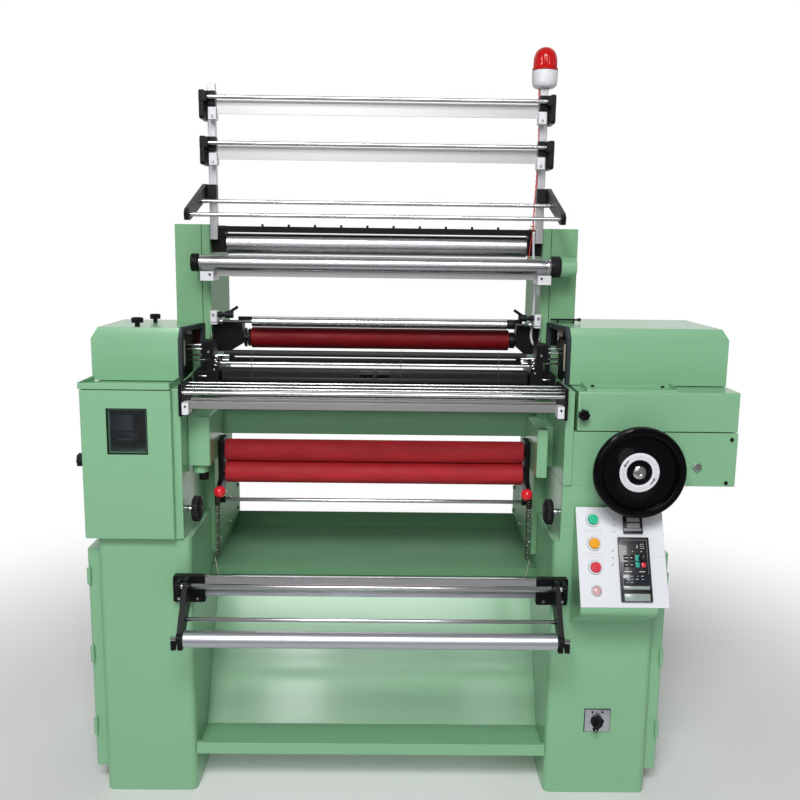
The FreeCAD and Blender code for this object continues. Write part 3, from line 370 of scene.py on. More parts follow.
# ---------------------------------------------------------------- mesh tools
class Shape:
    """Mesh being modelled, in the machine's millimetres."""

    def __init__(self) -> None:
        """Starts with an empty mesh."""
        self.bm = bmesh.new()

    def island(self, node: str, rank: int, end: tuple[Point, Point] | None = None) -> "Shape":
        """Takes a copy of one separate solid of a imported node, with its doubles merged.

        Args:
            node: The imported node.
            rank: Place of the solid when they are sorted from the largest down.
            end: Point and outward way of a plane that the solid ends at, where another one starts.

        Returns:
            The shape itself.
        """
        self.bm.from_mesh(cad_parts[node].data)
        bmesh.ops.transform(self.bm, matrix=TO_ROW.inverted(), verts=self.bm.verts[:])
        if end:
            self.drop_beyond(Vector(end[0]), Vector(end[1]).normalized())
        bmesh.ops.remove_doubles(self.bm, verts=self.bm.verts[:], dist=DOUBLE_REACH)
        left, groups = set(self.bm.verts), []
        while left:
            group, waiting = set(), [left.pop()]
            while waiting:
                vert = waiting.pop()
                group.add(vert)
                near = {edge.other_vert(vert) for edge in vert.link_edges} & left
                left -= near
                waiting.extend(near)
            groups.append(group)
        groups.sort(key=lambda group: -self.diagonal(group))
        rest = [vert for index, group in enumerate(groups) if index != rank for vert in group]
        bmesh.ops.delete(self.bm, geom=rest, context="VERTS")
        return self

    def drop_beyond(self, point: Vector, way: Vector) -> None:
        """Deletes the faces beyond a plane, and those in it that look back.

        Args:
            point: A point of the plane.
            way: Its normal, away from what stays.
        """
        touch = 0.01
        self.bm.normal_update()
        gone = []
        for face in self.bm.faces:
            depth = (face.calc_center_median() - point).dot(way)
            if depth > touch or (abs(depth) <= touch and face.normal.dot(way) < 0):
                gone.append(face)
        bmesh.ops.delete(self.bm, geom=gone, context="FACES")

    @staticmethod
    def diagonal(verts: set[bmesh.types.BMVert]) -> float:
        """Gives the length of the box diagonal of some vertices."""
        low = [min(vert.co[i] for vert in verts) for i in range(3)]
        high = [max(vert.co[i] for vert in verts) for i in range(3)]
        return (Vector(high) - Vector(low)).length

    def bevel(self, edges: list[bmesh.types.BMEdge], width: float, rings: int = 2) -> None:
        """Rounds edges.

        Args:
            edges: The edges.
            width: Distance from each edge at which the rounding starts.
            rings: Faces across the rounding.
        """
        if width > 0 and edges:
            bmesh.ops.bevel(self.bm, geom=edges, offset=width, offset_type="OFFSET", segments=rings,
                            profile=0.5, affect="EDGES", material=-1, clamp_overlap=True)

    def block(self, x: Flat, y: Flat, z: Flat, edge: float = 0.6, rings: int = 2) -> "Shape":
        """Adds a block with rounded edges.

        Args:
            x: Limits along X.
            y: Limits along Y.
            z: Limits along Z.
            edge: Radius of its edges.
            rings: Faces across each rounding.

        Returns:
            The shape itself.
        """
        made = bmesh.ops.create_cube(self.bm, size=1.0)["verts"]
        bmesh.ops.scale(self.bm, vec=Vector([high - low for low, high in (x, y, z)]), verts=made)
        bmesh.ops.translate(self.bm, vec=Vector([(low + high) / 2 for low, high in (x, y, z)]), verts=made)
        self.bevel(list({link for vert in made for link in vert.link_edges}), edge, rings)
        return self

    def blocks(self, rows: tuple[tuple[Flat, Flat, Flat], ...], edge: float) -> "Shape":
        """Adds several blocks.

        Args:
            rows: Limits of each along X, Y and Z.
            edge: Radius of their edges.

        Returns:
            The shape itself.
        """
        for x, y, z in rows:
            self.block(x, y, z, edge)
        return self

    def rod(self, start: Point, end: Point, radius: float, edge: float = 0.0, sides: int = 32,
            tip: float | None = None) -> "Shape":
        """Adds a round rod or a cone between two points.

        Args:
            start: Middle of one end.
            end: Middle of the other end.
            radius: Radius at the start.
            edge: Rounding of both rims.
            sides: Faces round it.
            tip: Radius at the end, where it tapers.

        Returns:
            The shape itself.
        """
        way = Vector(end) - Vector(start)
        far = radius if tip is None else tip
        made = bmesh.ops.create_cone(self.bm, cap_ends=True, segments=sides, radius1=radius, radius2=far,
                                     depth=way.length)["verts"]
        turn = way.to_track_quat("Z", "Y").to_matrix().to_4x4()
        place = Matrix.Translation((Vector(start) + Vector(end)) / 2) @ turn
        bmesh.ops.transform(self.bm, matrix=place, verts=made)
        links = {link for vert in made for link in vert.link_edges}
        rims = [link for link in links if any(len(face.verts) == sides for face in link.link_faces)]
        self.bevel(rims, edge)
        return self

    def lathe(self, profile: list[Flat], origin: Point, axis: Point, steps: int = 72) -> "Shape":
        """Adds a turned form.

        Args:
            profile: Radius and height of each point, from one end to the other.
            origin: Point on the axis at height 0.
            axis: Way of the axis.
            steps: Faces round it.

        Returns:
            The shape itself.
        """
        old = set(self.bm.verts)
        up = Vector(axis).normalized()
        side = up.orthogonal().normalized()
        points = [Vector(origin) + side * radius + up * height for radius, height in profile]
        verts = [self.bm.verts.new(point) for point in points]
        edges = [self.bm.edges.new(two) for two in zip(verts, verts[1:])]
        bmesh.ops.spin(self.bm, geom=verts + edges, cent=origin, axis=up, angle=math.tau, steps=steps,
                       use_merge=True)
        made = [vert for vert in self.bm.verts if vert not in old]
        bmesh.ops.remove_doubles(self.bm, verts=made, dist=0.001)
        made = [vert for vert in self.bm.verts if vert not in old]
        faces = list({face for vert in made for face in vert.link_faces})
        bmesh.ops.recalc_face_normals(self.bm, faces=faces)
        return self

    def prism(self, outline: list[Point], along: Point, edge: float = 0.0, rings: int = 2) -> "Shape":
        """Adds an outline drawn out to a solid.

        Args:
            outline: The outline's points.
            along: How far and which way it is drawn out.
            edge: Radius of its edges.
            rings: Faces across each rounding.

        Returns:
            The shape itself.
        """
        base = self.bm.faces.new([self.bm.verts.new(point) for point in outline])
        copied = bmesh.ops.extrude_face_region(self.bm, geom=[base])["geom"]
        moved = [item for item in copied if isinstance(item, bmesh.types.BMVert)]
        bmesh.ops.translate(self.bm, vec=along, verts=moved)
        made = {*base.verts, *moved}
        faces = list({face for vert in made for face in vert.link_faces})
        bmesh.ops.recalc_face_normals(self.bm, faces=faces)
        self.bevel(list({link for vert in made for link in vert.link_edges}), edge, rings)
        return self

    def ball(self, centre: Point, radius: float) -> "Shape":
        """Adds a ball.

        Args:
            centre: Its middle.
            radius: Its radius.

        Returns:
            The shape itself.
        """
        bmesh.ops.create_uvsphere(self.bm, u_segments=48, v_segments=24, radius=radius,
                                  matrix=Matrix.Translation(centre))
        return self

    def star(self, centre: Point, axis: Point, radius: float, height: float) -> "Shape":
        """Adds a lobed clamping knob with a dished, capped face.

        Args:
            centre: Middle of its inner face.
            axis: Way from there to its outer face.
            radius: Radius over the lobes.
            height: Its height.

        Returns:
            The shape itself.
        """
        lobes, around, hollow = 7, 84, 0.16
        up = Vector(axis).normalized()
        turn = up.to_track_quat("Z", "Y").to_matrix().to_4x4()
        made = bmesh.ops.create_circle(self.bm, cap_ends=True, segments=around, radius=radius)["verts"]
        for vert in made:
            angle = math.atan2(vert.co.y, vert.co.x)
            vert.co *= 1.0 - hollow * (0.5 - 0.5 * math.cos(lobes * angle))
        face = made[0].link_faces[0]
        bmesh.ops.transform(self.bm, matrix=Matrix.Translation(centre) @ turn, verts=made)
        copied = bmesh.ops.extrude_face_region(self.bm, geom=[face])["geom"]
        top = next(item for item in copied if isinstance(item, bmesh.types.BMFace))
        bmesh.ops.translate(self.bm, vec=up * height, verts=top.verts)
        for inward, outward in ((0.08, 0.05), (0.30, -0.04), (0.06, 0.08)):
            bmesh.ops.inset_region(self.bm, faces=[top], thickness=radius * inward, depth=radius * outward)
        bmesh.ops.recalc_face_normals(self.bm, faces=self.bm.faces[:])
        return self

    def screw(self, seat: Point, axis: Point, radius: float) -> "Shape":
        """Adds a cap screw's head with its socket.

        Args:
            seat: Middle of the face it sits on.
            axis: Way out of that face.
            radius: Radius of the head.

        Returns:
            The shape itself.
        """
        profile = [(0.0, 0.0), (radius, 0.0), (radius, radius * 0.7), (radius * 0.85, radius * 0.9),
                   (radius * 0.5, radius * 0.9), (radius * 0.5, radius * 0.3), (0.0, radius * 0.3)]
        return self.lathe(profile, seat, axis, 18)

    def wire(self, points: list[Point], radius: float, rounded: bool = False) -> "Shape":
        """Adds a round wire along points.

        Args:
            points: What it follows.
            radius: Its radius.
            rounded: Whether it rounds its corners as a smooth spline.

        Returns:
            The shape itself.
        """
        curve = bpy.data.curves.new("route", "CURVE")
        curve.dimensions = "3D"
        curve.bevel_depth = radius
        curve.bevel_resolution = 2
        curve.use_fill_caps = True
        curve.resolution_u = 6
        spline = curve.splines.new("NURBS" if rounded else "POLY")
        spline.points.add(len(points) - 1)
        for control, point in zip(spline.points, points):
            control.co = (*point, 1.0)
        if rounded:
            spline.order_u = 3
            spline.use_endpoint_u = True
        holder = bpy.data.objects.new("route", curve)
        mesh = bpy.data.meshes.new_from_object(holder)
        self.bm.from_mesh(mesh)
        bpy.data.objects.remove(holder)
        bpy.data.curves.remove(curve)
        bpy.data.meshes.remove(mesh)
        return self

    def mirror(self) -> "Shape":
        """Adds the mirror image across X = 0 and returns the shape itself."""
        made = bmesh.ops.mirror(self.bm, geom=self.bm.verts[:] + self.bm.edges[:] + self.bm.faces[:],
                                axis="X", merge_dist=0.0)["geom"]
        faces = [item for item in made if isinstance(item, bmesh.types.BMFace)]
        bmesh.ops.recalc_face_normals(self.bm, faces=faces)
        return self

    def turned(self, matrix: Matrix) -> "Shape":
        """Moves the whole shape by a matrix and returns the shape itself."""
        bmesh.ops.transform(self.bm, matrix=matrix, verts=self.bm.verts[:])
        return self

    def join(self, other: "Shape") -> None:
        """Adds another shape and empties it.

        Args:
            other: The shape that is taken over.
        """
        mesh = bpy.data.meshes.new("joined")
        other.bm.to_mesh(mesh)
        other.bm.free()
        self.bm.from_mesh(mesh)
        bpy.data.meshes.remove(mesh)

    def piece(self, name: str, finish: Finish, *nodes: str, body: str = "frame", slot: str = "",
              edge: float = 0.0) -> None:
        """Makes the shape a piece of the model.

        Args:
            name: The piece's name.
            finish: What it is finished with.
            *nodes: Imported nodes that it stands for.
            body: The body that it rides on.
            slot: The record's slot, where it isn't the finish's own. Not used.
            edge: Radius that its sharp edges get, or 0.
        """
        slot = slot or finish.slot
        self.turned(TO_ROW)
        mesh = bpy.data.meshes.new(name)
        self.bm.to_mesh(mesh)
        self.bm.free()
        mesh.shade_smooth()
        mesh.set_sharp_from_angle(angle=SMOOTH_UNDER)
        mesh.materials.append(finish.material())
        made = bpy.data.objects.new(name, mesh)
        bpy.context.scene.collection.objects.link(made)
        if edge > 0:
            round_edges(made, edge)
        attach(made, body)
        if nodes:
            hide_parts(*nodes)
        LOG.info("made %s on %s", name, body)


def round_edges(piece: bpy.types.Object, radius: float) -> None:
    """Gives the sharp edges of folded or machined metal their radius.

    Args:
        piece: The object, whose mesh may still be loose triangles.
        radius: The radius in millimetres.
    """
    weld = piece.modifiers.new("weld", "WELD")
    weld.merge_threshold = WELD_REACH
    planar = piece.modifiers.new("flat faces", "DECIMATE")
    planar.decimate_type = "DISSOLVE"
    planar.angle_limit = FLAT_UNDER
    soft = piece.modifiers.new("edge radius", "BEVEL")
    soft.width = radius * MM
    soft.segments = 2
    soft.limit_method = "ANGLE"
    soft.angle_limit = ROUND_OVER
    soft.use_clamp_overlap = False
    soft.miter_outer = "MITER_ARC"
    shading = piece.modifiers.new("even shading", "WEIGHTED_NORMAL")
    shading.keep_sharp = False


def dress(node: str, finish: Finish, edge: float = 0.0) -> None:
    """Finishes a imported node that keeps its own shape.

    Args:
        node: The node.
        finish: What it is finished with.
        edge: Radius that its sharp edges get, or 0.
    """
    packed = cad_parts[node]
    packed.material_slots[0].material = finish.material()
    if edge > 0:
        round_edges(packed, edge)
    LOG.info("dressed %s", node)


# ---------------------------------------------------------------- studio
@dataclass(frozen=True)
class Lamp:
    """One soft lamp: its place, size and power, in metres and watts, and whether gloss mirrors it."""

    name: str
    place: Point
    size: Flat
    watts: float
    mirrored: bool = True

    def hang(self, aim: Point) -> None:
        """Hangs the lamp.

        Args:
            aim: What it faces.
        """
        light = bpy.data.lights.new(self.name, "AREA")
        light.shape = "RECTANGLE"
        light.size, light.size_y = self.size
        light.energy = self.watts
        lamp = bpy.data.objects.new(self.name, light)
        lamp.location = self.place
        lamp.rotation_mode = "QUATERNION"
        lamp.visible_camera = False
        lamp.visible_glossy = self.mirrored
        lamp.rotation_quaternion = (Vector(aim) - Vector(self.place)).to_track_quat("-Z", "Y")
        bpy.context.scene.collection.objects.link(lamp)


@dataclass
class Studio:
    """Pale floor, white backdrop, soft lamps and the camera, in metres of the shared frame.

    floor_fade is where the floor turns into the backdrop, from the middle out. room is how bright the room
    before the machine is where it is mirrored, and room_fade where it turns into the white backdrop.
    """

    camera_place: Point = (-0.048598, -2.423818, 1.420536)
    pitch: float = math.radians(9.743)
    yaw: float = math.radians(0.693)
    roll: float = math.radians(0.762)
    lens: float = 40.783
    clip: Flat = (0.05, 200.0)
    floor_radius: float = 30.0
    floor_grey: float = 0.86
    floor_fade: Flat = (0.9, 2.6)
    ambient: float = 0.13
    room: float = 0.22
    room_fade: Flat = (-0.25, 0.75)
    aim: Point = (0.0, 0.0, 0.85)
    lamps: tuple[Lamp, ...] = (Lamp("key lamp", (-0.4, -3.9, 4.4), (2.6, 1.2), 172.0),
                               Lamp("left softbox", (-0.75, -4.0, 3.1), (0.4, 0.7), 26.0),
                               Lamp("right softbox", (0.75, -4.0, 3.0), (0.35, 0.7), 8.0),
                               Lamp("low fill", (-0.4, -4.6, 1.6), (3.0, 1.5), 14.0),
                               Lamp("back lamp", (0.4, 5.0, 2.2), (3.0, 1.5), 80.0, False))

    def build(self) -> None:
        """Sets up everything that isn't part of the machine."""
        bpy.context.scene.view_settings.view_transform = "Standard"
        self.world()
        self.floor()
        for lamp in self.lamps:
            lamp.hang(self.aim)
        self.camera()

    def graded(self, tree: bpy.types.NodeTree, way: bpy.types.NodeSocket) -> bpy.types.NodeSocket:
        """Gives what metal mirrors: the white backdrop behind the machine and the dimmer room before it.

        Args:
            tree: The node tree that it is wired in.
            way: Direction of the mirrored ray.

        Returns:
            The strength's socket.
        """
        unit = add_node(tree, "VectorMath", {0: way}, operation="NORMALIZE")
        parts = add_node(tree, "SeparateXYZ", {"Vector": unit.outputs["Vector"]})
        limits = {"From Min": self.room_fade[0], "From Max": self.room_fade[1],
                  "To Min": self.room, "To Max": 1.0}
        level = add_node(tree, "MapRange", {"Value": parts.outputs["Y"], **limits},
                         interpolation_type="SMOOTHSTEP")
        return level.outputs["Result"]

    def strength(self, tree: bpy.types.NodeTree, way: bpy.types.NodeSocket,
                 plain: float) -> bpy.types.NodeSocket:
        """Gives the backdrop's strength: white to the camera and through glass, graded in what mirrors it.

        Args:
            tree: The node tree that it is wired in.
            way: Direction in which the backdrop is seen.
            plain: Its strength for every other ray.

        Returns:
            The strength's socket.
        """
        rays = tree.nodes.new("ShaderNodeLightPath").outputs
        kinds = (("Is Glossy Ray", self.graded(tree, way)), ("Is Transmission Ray", 1.0),
                 ("Is Camera Ray", 1.0))
        strength = plain
        for kind, value in kinds:
            choice = add_node(tree, "MapRange", {"Value": rays[kind], "To Min": strength, "To Max": value})
            strength = choice.outputs["Result"]
        return strength

    def world(self) -> None:
        """Makes a backdrop that is white to the camera and through glass, and lights the machine little."""
        world = bpy.data.worlds.new("studio")
        world.use_nodes = True
        tree = world.node_tree
        back = tree.nodes["Background"]
        back.inputs["Color"].default_value = WHITE
        way = tree.nodes.new("ShaderNodeTexCoord").outputs["Generated"]
        tree.links.new(self.strength(tree, way, self.ambient), back.inputs["Strength"])
        bpy.context.scene.world = world

    def floor(self) -> None:
        """Lays the floor, which fades into the backdrop and keeps the machine's shadow."""
        bm = bmesh.new()
        bmesh.ops.create_circle(bm, cap_ends=True, segments=96, radius=self.floor_radius)
        mesh = bpy.data.meshes.new("floor")
        bm.to_mesh(mesh)
        bm.free()
        paint = Paint("pale floor")
        paint.constant("Base Color", (self.floor_grey,) * 3)
        paint.constant("Roughness", 0.8)
        tree = paint.tree
        far = add_node(tree, "VectorMath", {0: paint.place}, operation="LENGTH")
        limits = {"From Min": self.floor_fade[0], "From Max": self.floor_fade[1]}
        fade = add_node(tree, "MapRange", {"Value": far.outputs["Value"], **limits},
                        interpolation_type="SMOOTHSTEP")
        diffuse = tree.nodes.new("ShaderNodeLightPath").outputs["Is Diffuse Ray"]
        direct = add_node(tree, "Math", {0: 1.0, 1: diffuse}, operation="SUBTRACT", use_clamp=True)
        share = add_node(tree, "Math", {0: direct.outputs["Value"], 1: fade.outputs["Result"]},
                         operation="MULTIPLY")
        glow = add_node(tree, "Emission", {"Strength": self.strength(tree, paint.place, 0.0)})
        blend = add_node(tree, "MixShader", {"Fac": share.outputs["Value"], 1: paint.shader.outputs["BSDF"],
                                             2: glow.outputs["Emission"]})
        tree.links.new(blend.outputs["Shader"], tree.nodes["Material Output"].inputs["Surface"])
        mesh.materials.append(paint.material)
        floor = bpy.data.objects.new("floor", mesh)
        bpy.context.scene.collection.objects.link(floor)

    def camera(self) -> None:
        """Sets the camera at the photograph's place and angle."""
        flat = math.cos(self.pitch)
        ahead = Vector((math.sin(self.yaw) * flat, math.cos(self.yaw) * flat, -math.sin(self.pitch)))
        level = Vector((math.cos(self.yaw), -math.sin(self.yaw), 0.0))
        above = level.cross(ahead)
        right = level * math.cos(self.roll) + above * math.sin(self.roll)
        up = above * math.cos(self.roll) - level * math.sin(self.roll)
        data = bpy.data.cameras.new("camera")
        data.lens = self.lens
        data.clip_start, data.clip_end = self.clip
        camera = bpy.data.objects.new("camera", data)
        turn = Matrix((right, up, -ahead)).transposed().to_4x4()
        camera.matrix_world = Matrix.Translation(self.camera_place) @ turn
        bpy.context.scene.collection.objects.link(camera)
        bpy.context.scene.camera = camera


# ---------------------------------------------------------------- sheet metal
@dataclass
class Housing:
    """Pedestals, pillars, panels and doors of green sheet metal."""

    edge: float = 1.6
    thin_edge: float = 0.7
    heavy: tuple[str, ...] = ("left_pedestal", "right_pedestal", "left_cabinet", "gearbox_case",
                              "roller_housings")
    pillars: tuple[str, ...] = ("left_pillar", "right_pillar")
    thin: tuple[str, ...] = ("floor_trough", "chute_panel", "left_side_door", "right_side_door")
    seam_x: float = 462.0
    seam_half: float = 0.9
    foot: Flat = (-436.0, 88.0)

    def build(self) -> None:
        """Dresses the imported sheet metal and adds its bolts, seams and foot."""
        # The pillars take a darker green, which is painted shade.
        sheets = ((self.heavy, GREEN, self.edge), (self.pillars, PAINTED_SHADE_PILLAR_GREEN, self.edge),
                  # The cross beam and the cloth deck take the darker green, which is painted shade.
                  (self.thin, GREEN, self.thin_edge), (("cross_beam",), PAINTED_SHADE_GREEN, self.edge),
                  (("cloth_deck",), PAINTED_SHADE_GREEN, self.thin_edge))
        for nodes, finish, edge in sheets:
            for node in nodes:
                dress(node, finish, edge)
        bolts = Shape()
        for y in (290.0, 450.0, 610.0):
            for z in (590.0, 665.0):
                bolts.screw((-440.0, y, z), (1, 0, 0), 7.0)
        bolts.mirror().piece("flange_bolts", STEEL)
        seam_x = (self.seam_x - self.seam_half, self.seam_x + self.seam_half)
        seam = Shape().block(seam_x, (249.5, 250.3), (1092.0, 1464.0), 0.2)
        seam.mirror().piece("pillar_seams", SEAM)
        foot = Shape().rod((*self.foot, 838.5), (*self.foot, 819.0), 12.0, 2.0)
        foot.piece("housing_foot", BLACK_PAINT)


@dataclass
class Cabinet:
    """Door and window of the left cabinet, and the compartment behind the window."""

    door_front: float = -25.0
    window_x: Flat = (-646.0, -547.0)
    window_z: Flat = (908.0, 1022.0)
    knob: Point = (-712.4, 4.0, 887.0)
    back: float = 66.0

    def build(self) -> None:
        """Makes the door with its knob, the window's seal and what shows behind it."""
        pan = Shape().island("cabinet_door", 0)
        pan.piece("door_pan", GREEN, "cabinet_door", body="cabinet_door", edge=0.5)
        knob = Shape().rod((-709.0, *self.knob[1:]), self.knob, 6.5).star(self.knob, (-1, 0, 0), 17.0, 14.0)
        knob.piece("door_knob", BLACK_PLASTIC, body="cabinet_door")
        dress("door_window", PANE)
        self.seal()
        self.inside()
        screw = Shape().screw((-509.0, 55.0, 1070.5), (0, 0, 1), 3.5)
        screw.piece("cabinet_screw", BLACK_PAINT)

    def seal(self) -> None:
        """Makes the black seal round the pane."""
        (left, right), (low, high) = self.window_x, self.window_z
        deep, wide = (self.door_front + 1.0, self.door_front + 8.0), 2.4
        strip = Shape().blocks((((left, right), deep, (high - wide, high)),
                                ((left, right), deep, (low, low + wide)),
                                ((left, left + wide), deep, (low, high)),
                                ((right - wide, right), deep, (low, high))), 0.5)
        strip.piece("window_seal", GASKET, body="cabinet_door")

    def inside(self) -> None:
        """Makes the compartment that shows through the pane."""
        (left, right), far = self.window_x, self.back
        upright = (905, 1032)
        walls = Shape().blocks((((left - 56, right + 73), (far, far + 4), upright),
                                ((left - 34, left - 30), (-4, far), upright),
                                ((right + 4, right + 8), (-4, far), upright)), 0.5)
        walls.piece("compartment_walls", BLACK_PAINT)
        parts = (("sill", GREEN, (-676, -543), (-4, far), (905, 911)),
                 ("counter", MOTOR_GREY, (-656, -598), (40, far), (954, 994)),
                 ("ledge", BLUE_GREY, (-645, -598), (36, far), (947, 953)),
                 ("box", NAVY, (-658, -588), (40, far), (934, 947)),
                 # The rim takes the darker green, which is painted shade in the recess.
                 ("rim", PAINTED_SHADE_GREEN, (-640, -598), (38, 40.5), (930, 934)))
        for name, finish, x, y, z in parts:
            Shape().block(x, y, z, 0.8).piece(f"compartment_{name}", finish)


@dataclass
class Hood:
    """One upper hood with the toothed trim along its slanting open end, and the walls that show in it."""

    side: str
    sign: float
    base: float
    top: float
    plate: tuple[Flat, ...]
    plate_finish: Finish
    knobs: tuple[tuple[Point, float], ...] = ()
    front: Flat = (496.0, 96.0)
    slant: Flat = (-29.0, 151.0)
    teeth: int = 16
    teeth_y: Flat = (113.0, 243.0)

    def end_x(self, y: float, deep: float) -> float:
        """Gives the X of a plane along the open end.

        Args:
            y: Where it is asked for.
            deep: How far the plane lies inside the hood.

        Returns:
            Its X.
        """
        return self.sign * (self.front[0] + self.slant[0] / self.slant[1] * (y - self.front[1]) + deep)

    def build(self) -> None:
        """Makes the shell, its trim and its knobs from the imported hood, and the walls in it."""
        node = f"{self.side}_hood"
        point = (self.sign * self.front[0], self.front[1], 0.0)
        way = Vector((-self.sign * self.slant[1], self.slant[0], 0.0))
        shell = Shape().island(node, 0, (point, tuple(way)))
        shell.piece(f"{self.side}_hood_shell", GREEN, node, body=node, edge=0.6)
        trim = Shape().island(node, 0, (point, tuple(-way)))
        for index in range(self.teeth):
            y = self.teeth_y[0] + (self.teeth_y[1] - self.teeth_y[0]) * index / (self.teeth - 1)
            x = self.end_x(y, -5.0)
            trim.block((x - 5.2, x + 5.2), (y - 2.4, y + 2.4), (self.top - 0.5, self.top + 1.4), 0.4, 1)
        trim.piece(f"{self.side}_hood_trim", EDGE_TRIM, body=node)
        for index, (place, radius) in enumerate(self.knobs):
            knob = Shape().rod((place[0], place[1], place[2] - 10), place, radius * 0.4)
            knob.star(place, (0, 0, 1), radius, 12.0)
            knob.piece(f"{self.side}_hood_knob_{index + 1}", BLACK_PLASTIC, body=node)
        self.inside(node)

    def wall(self, corners: tuple[Flat, ...], deep: float, thick: float) -> Shape:
        """Makes a wall that runs along the open end.

        Args:
            corners: Y and Z of its corners.
            deep: How far it lies inside the open end.
            thick: Its thickness.

        Returns:
            The wall.
        """
        outline = [(self.end_x(y, deep), y, z) for y, z in corners]
        return Shape().prism(outline, (self.sign * thick, 0, 0), 0.4)

    def inside(self, node: str) -> None:
        """Makes the bulkhead, the plate on it and the hood's stiffener.

        Args:
            node: The hood's body.
        """
        high, low, s = self.top - 12.0, self.base, self.sign
        bulkhead = self.wall(((109, low), (234, low), (234, high), (109, high)), 20.0, 4.0)
        bulkhead.piece(f"{self.side}_bulkhead", BLACK_PAINT)
        self.wall(self.plate, 14.6, 5.4).piece(f"{self.side}_plate", BROWN)
        across = tuple(sorted((s * 470.5, s * 493.0)))
        stiffener = Shape().block(across, (238.5, 245.2), (self.top - 58, self.top - 4), 0.8)
        stiffener.piece(f"{self.side}_stiffener", self.plate_finish, body=node)


@dataclass
class HoodBits:
    """Small fittings by the hoods' open ends."""

    handle_z: float = 1228.0

    def build(self) -> None:
        """Makes the pins, the curled wire, the handle and the gauge rod."""
        pins = Shape().blocks((((-497, -484), (198, 202), (1181, 1195)),
                               ((480, 494), (198, 206), (1186, 1206))), 0.8)
        pins.piece("hood_pins", IVORY)
        route = [(481, 199, 1197), (478, 197, 1191), (482, 199, 1185), (480, 199, 1177)]
        curl = Shape().wire(route, 1.2, True)
        curl.block((486, 490), (128, 132), (1071.5, 1084), 0.4).piece("hood_curl", WHITE_PLASTIC)
        z = self.handle_z
        handle = Shape().rod((466, 240, z), (542, 240, z), 2.6, 0.5, 20).ball((543, 240, z), 5.0)
        for x in (486, 528):
            handle.rod((x, 240, 1217), (x, 240, z), 2.2, 0.3, 16)
        handle.piece("right_hood_handle", BLACK_PAINT, body="right_hood")
        gauge = Shape().rod((472, 140, 1076), (472, 140, 1116), 1.0, 0.2, 12)
        gauge.piece("case_gauge", STEEL)


@dataclass
class Gearbox:
    """Front cover of the gearbox, its knob, its plug and its screws."""

    knob: Point = (512.0, -12.0, 1017.0)
    plug: Flat = (802.0, 887.0)

    def build(self) -> None:
        """Makes the cover and the small parts on the case."""
        cover = Shape().island("gearbox_hood", 0)
        cover.piece("gear_cover", GREEN, "gearbox_hood", body="gearbox_hood", edge=0.6)
        x, y, z = self.knob
        knob = Shape().rod((x, -2.0, z), self.knob, 5.5).star(self.knob, (0, -1, 0), 14.0, 13.0)
        knob.piece("gear_cover_knob", BLACK_PLASTIC, body="gearbox_hood")
        x, z = self.plug
        plug = Shape().rod((x, 0.0, z), (x, -2.2, z), 12.6, 0.4, 48)
        plug.rod((x, -2.0, z), (x, -8.0, z), 10.6, 0.7, 6).piece("oil_plug", STEEL)
        screws, tray = Shape(), Shape()
        for x, z in ((884.0, 956.0), (877.0, 846.0)):
            screws.screw((x, 0.0, z), (0, -1, 0), 4.5)
        screws.piece("case_screws", BLACK_PAINT)
        for x, y in ((549.0, 71.0), (725.0, 68.0)):
            tray.screw((x, y, 1074.0), (0, 0, 1), 4.5)
        tray.piece("tray_screws", BLACK_PAINT, body="gearbox_hood")


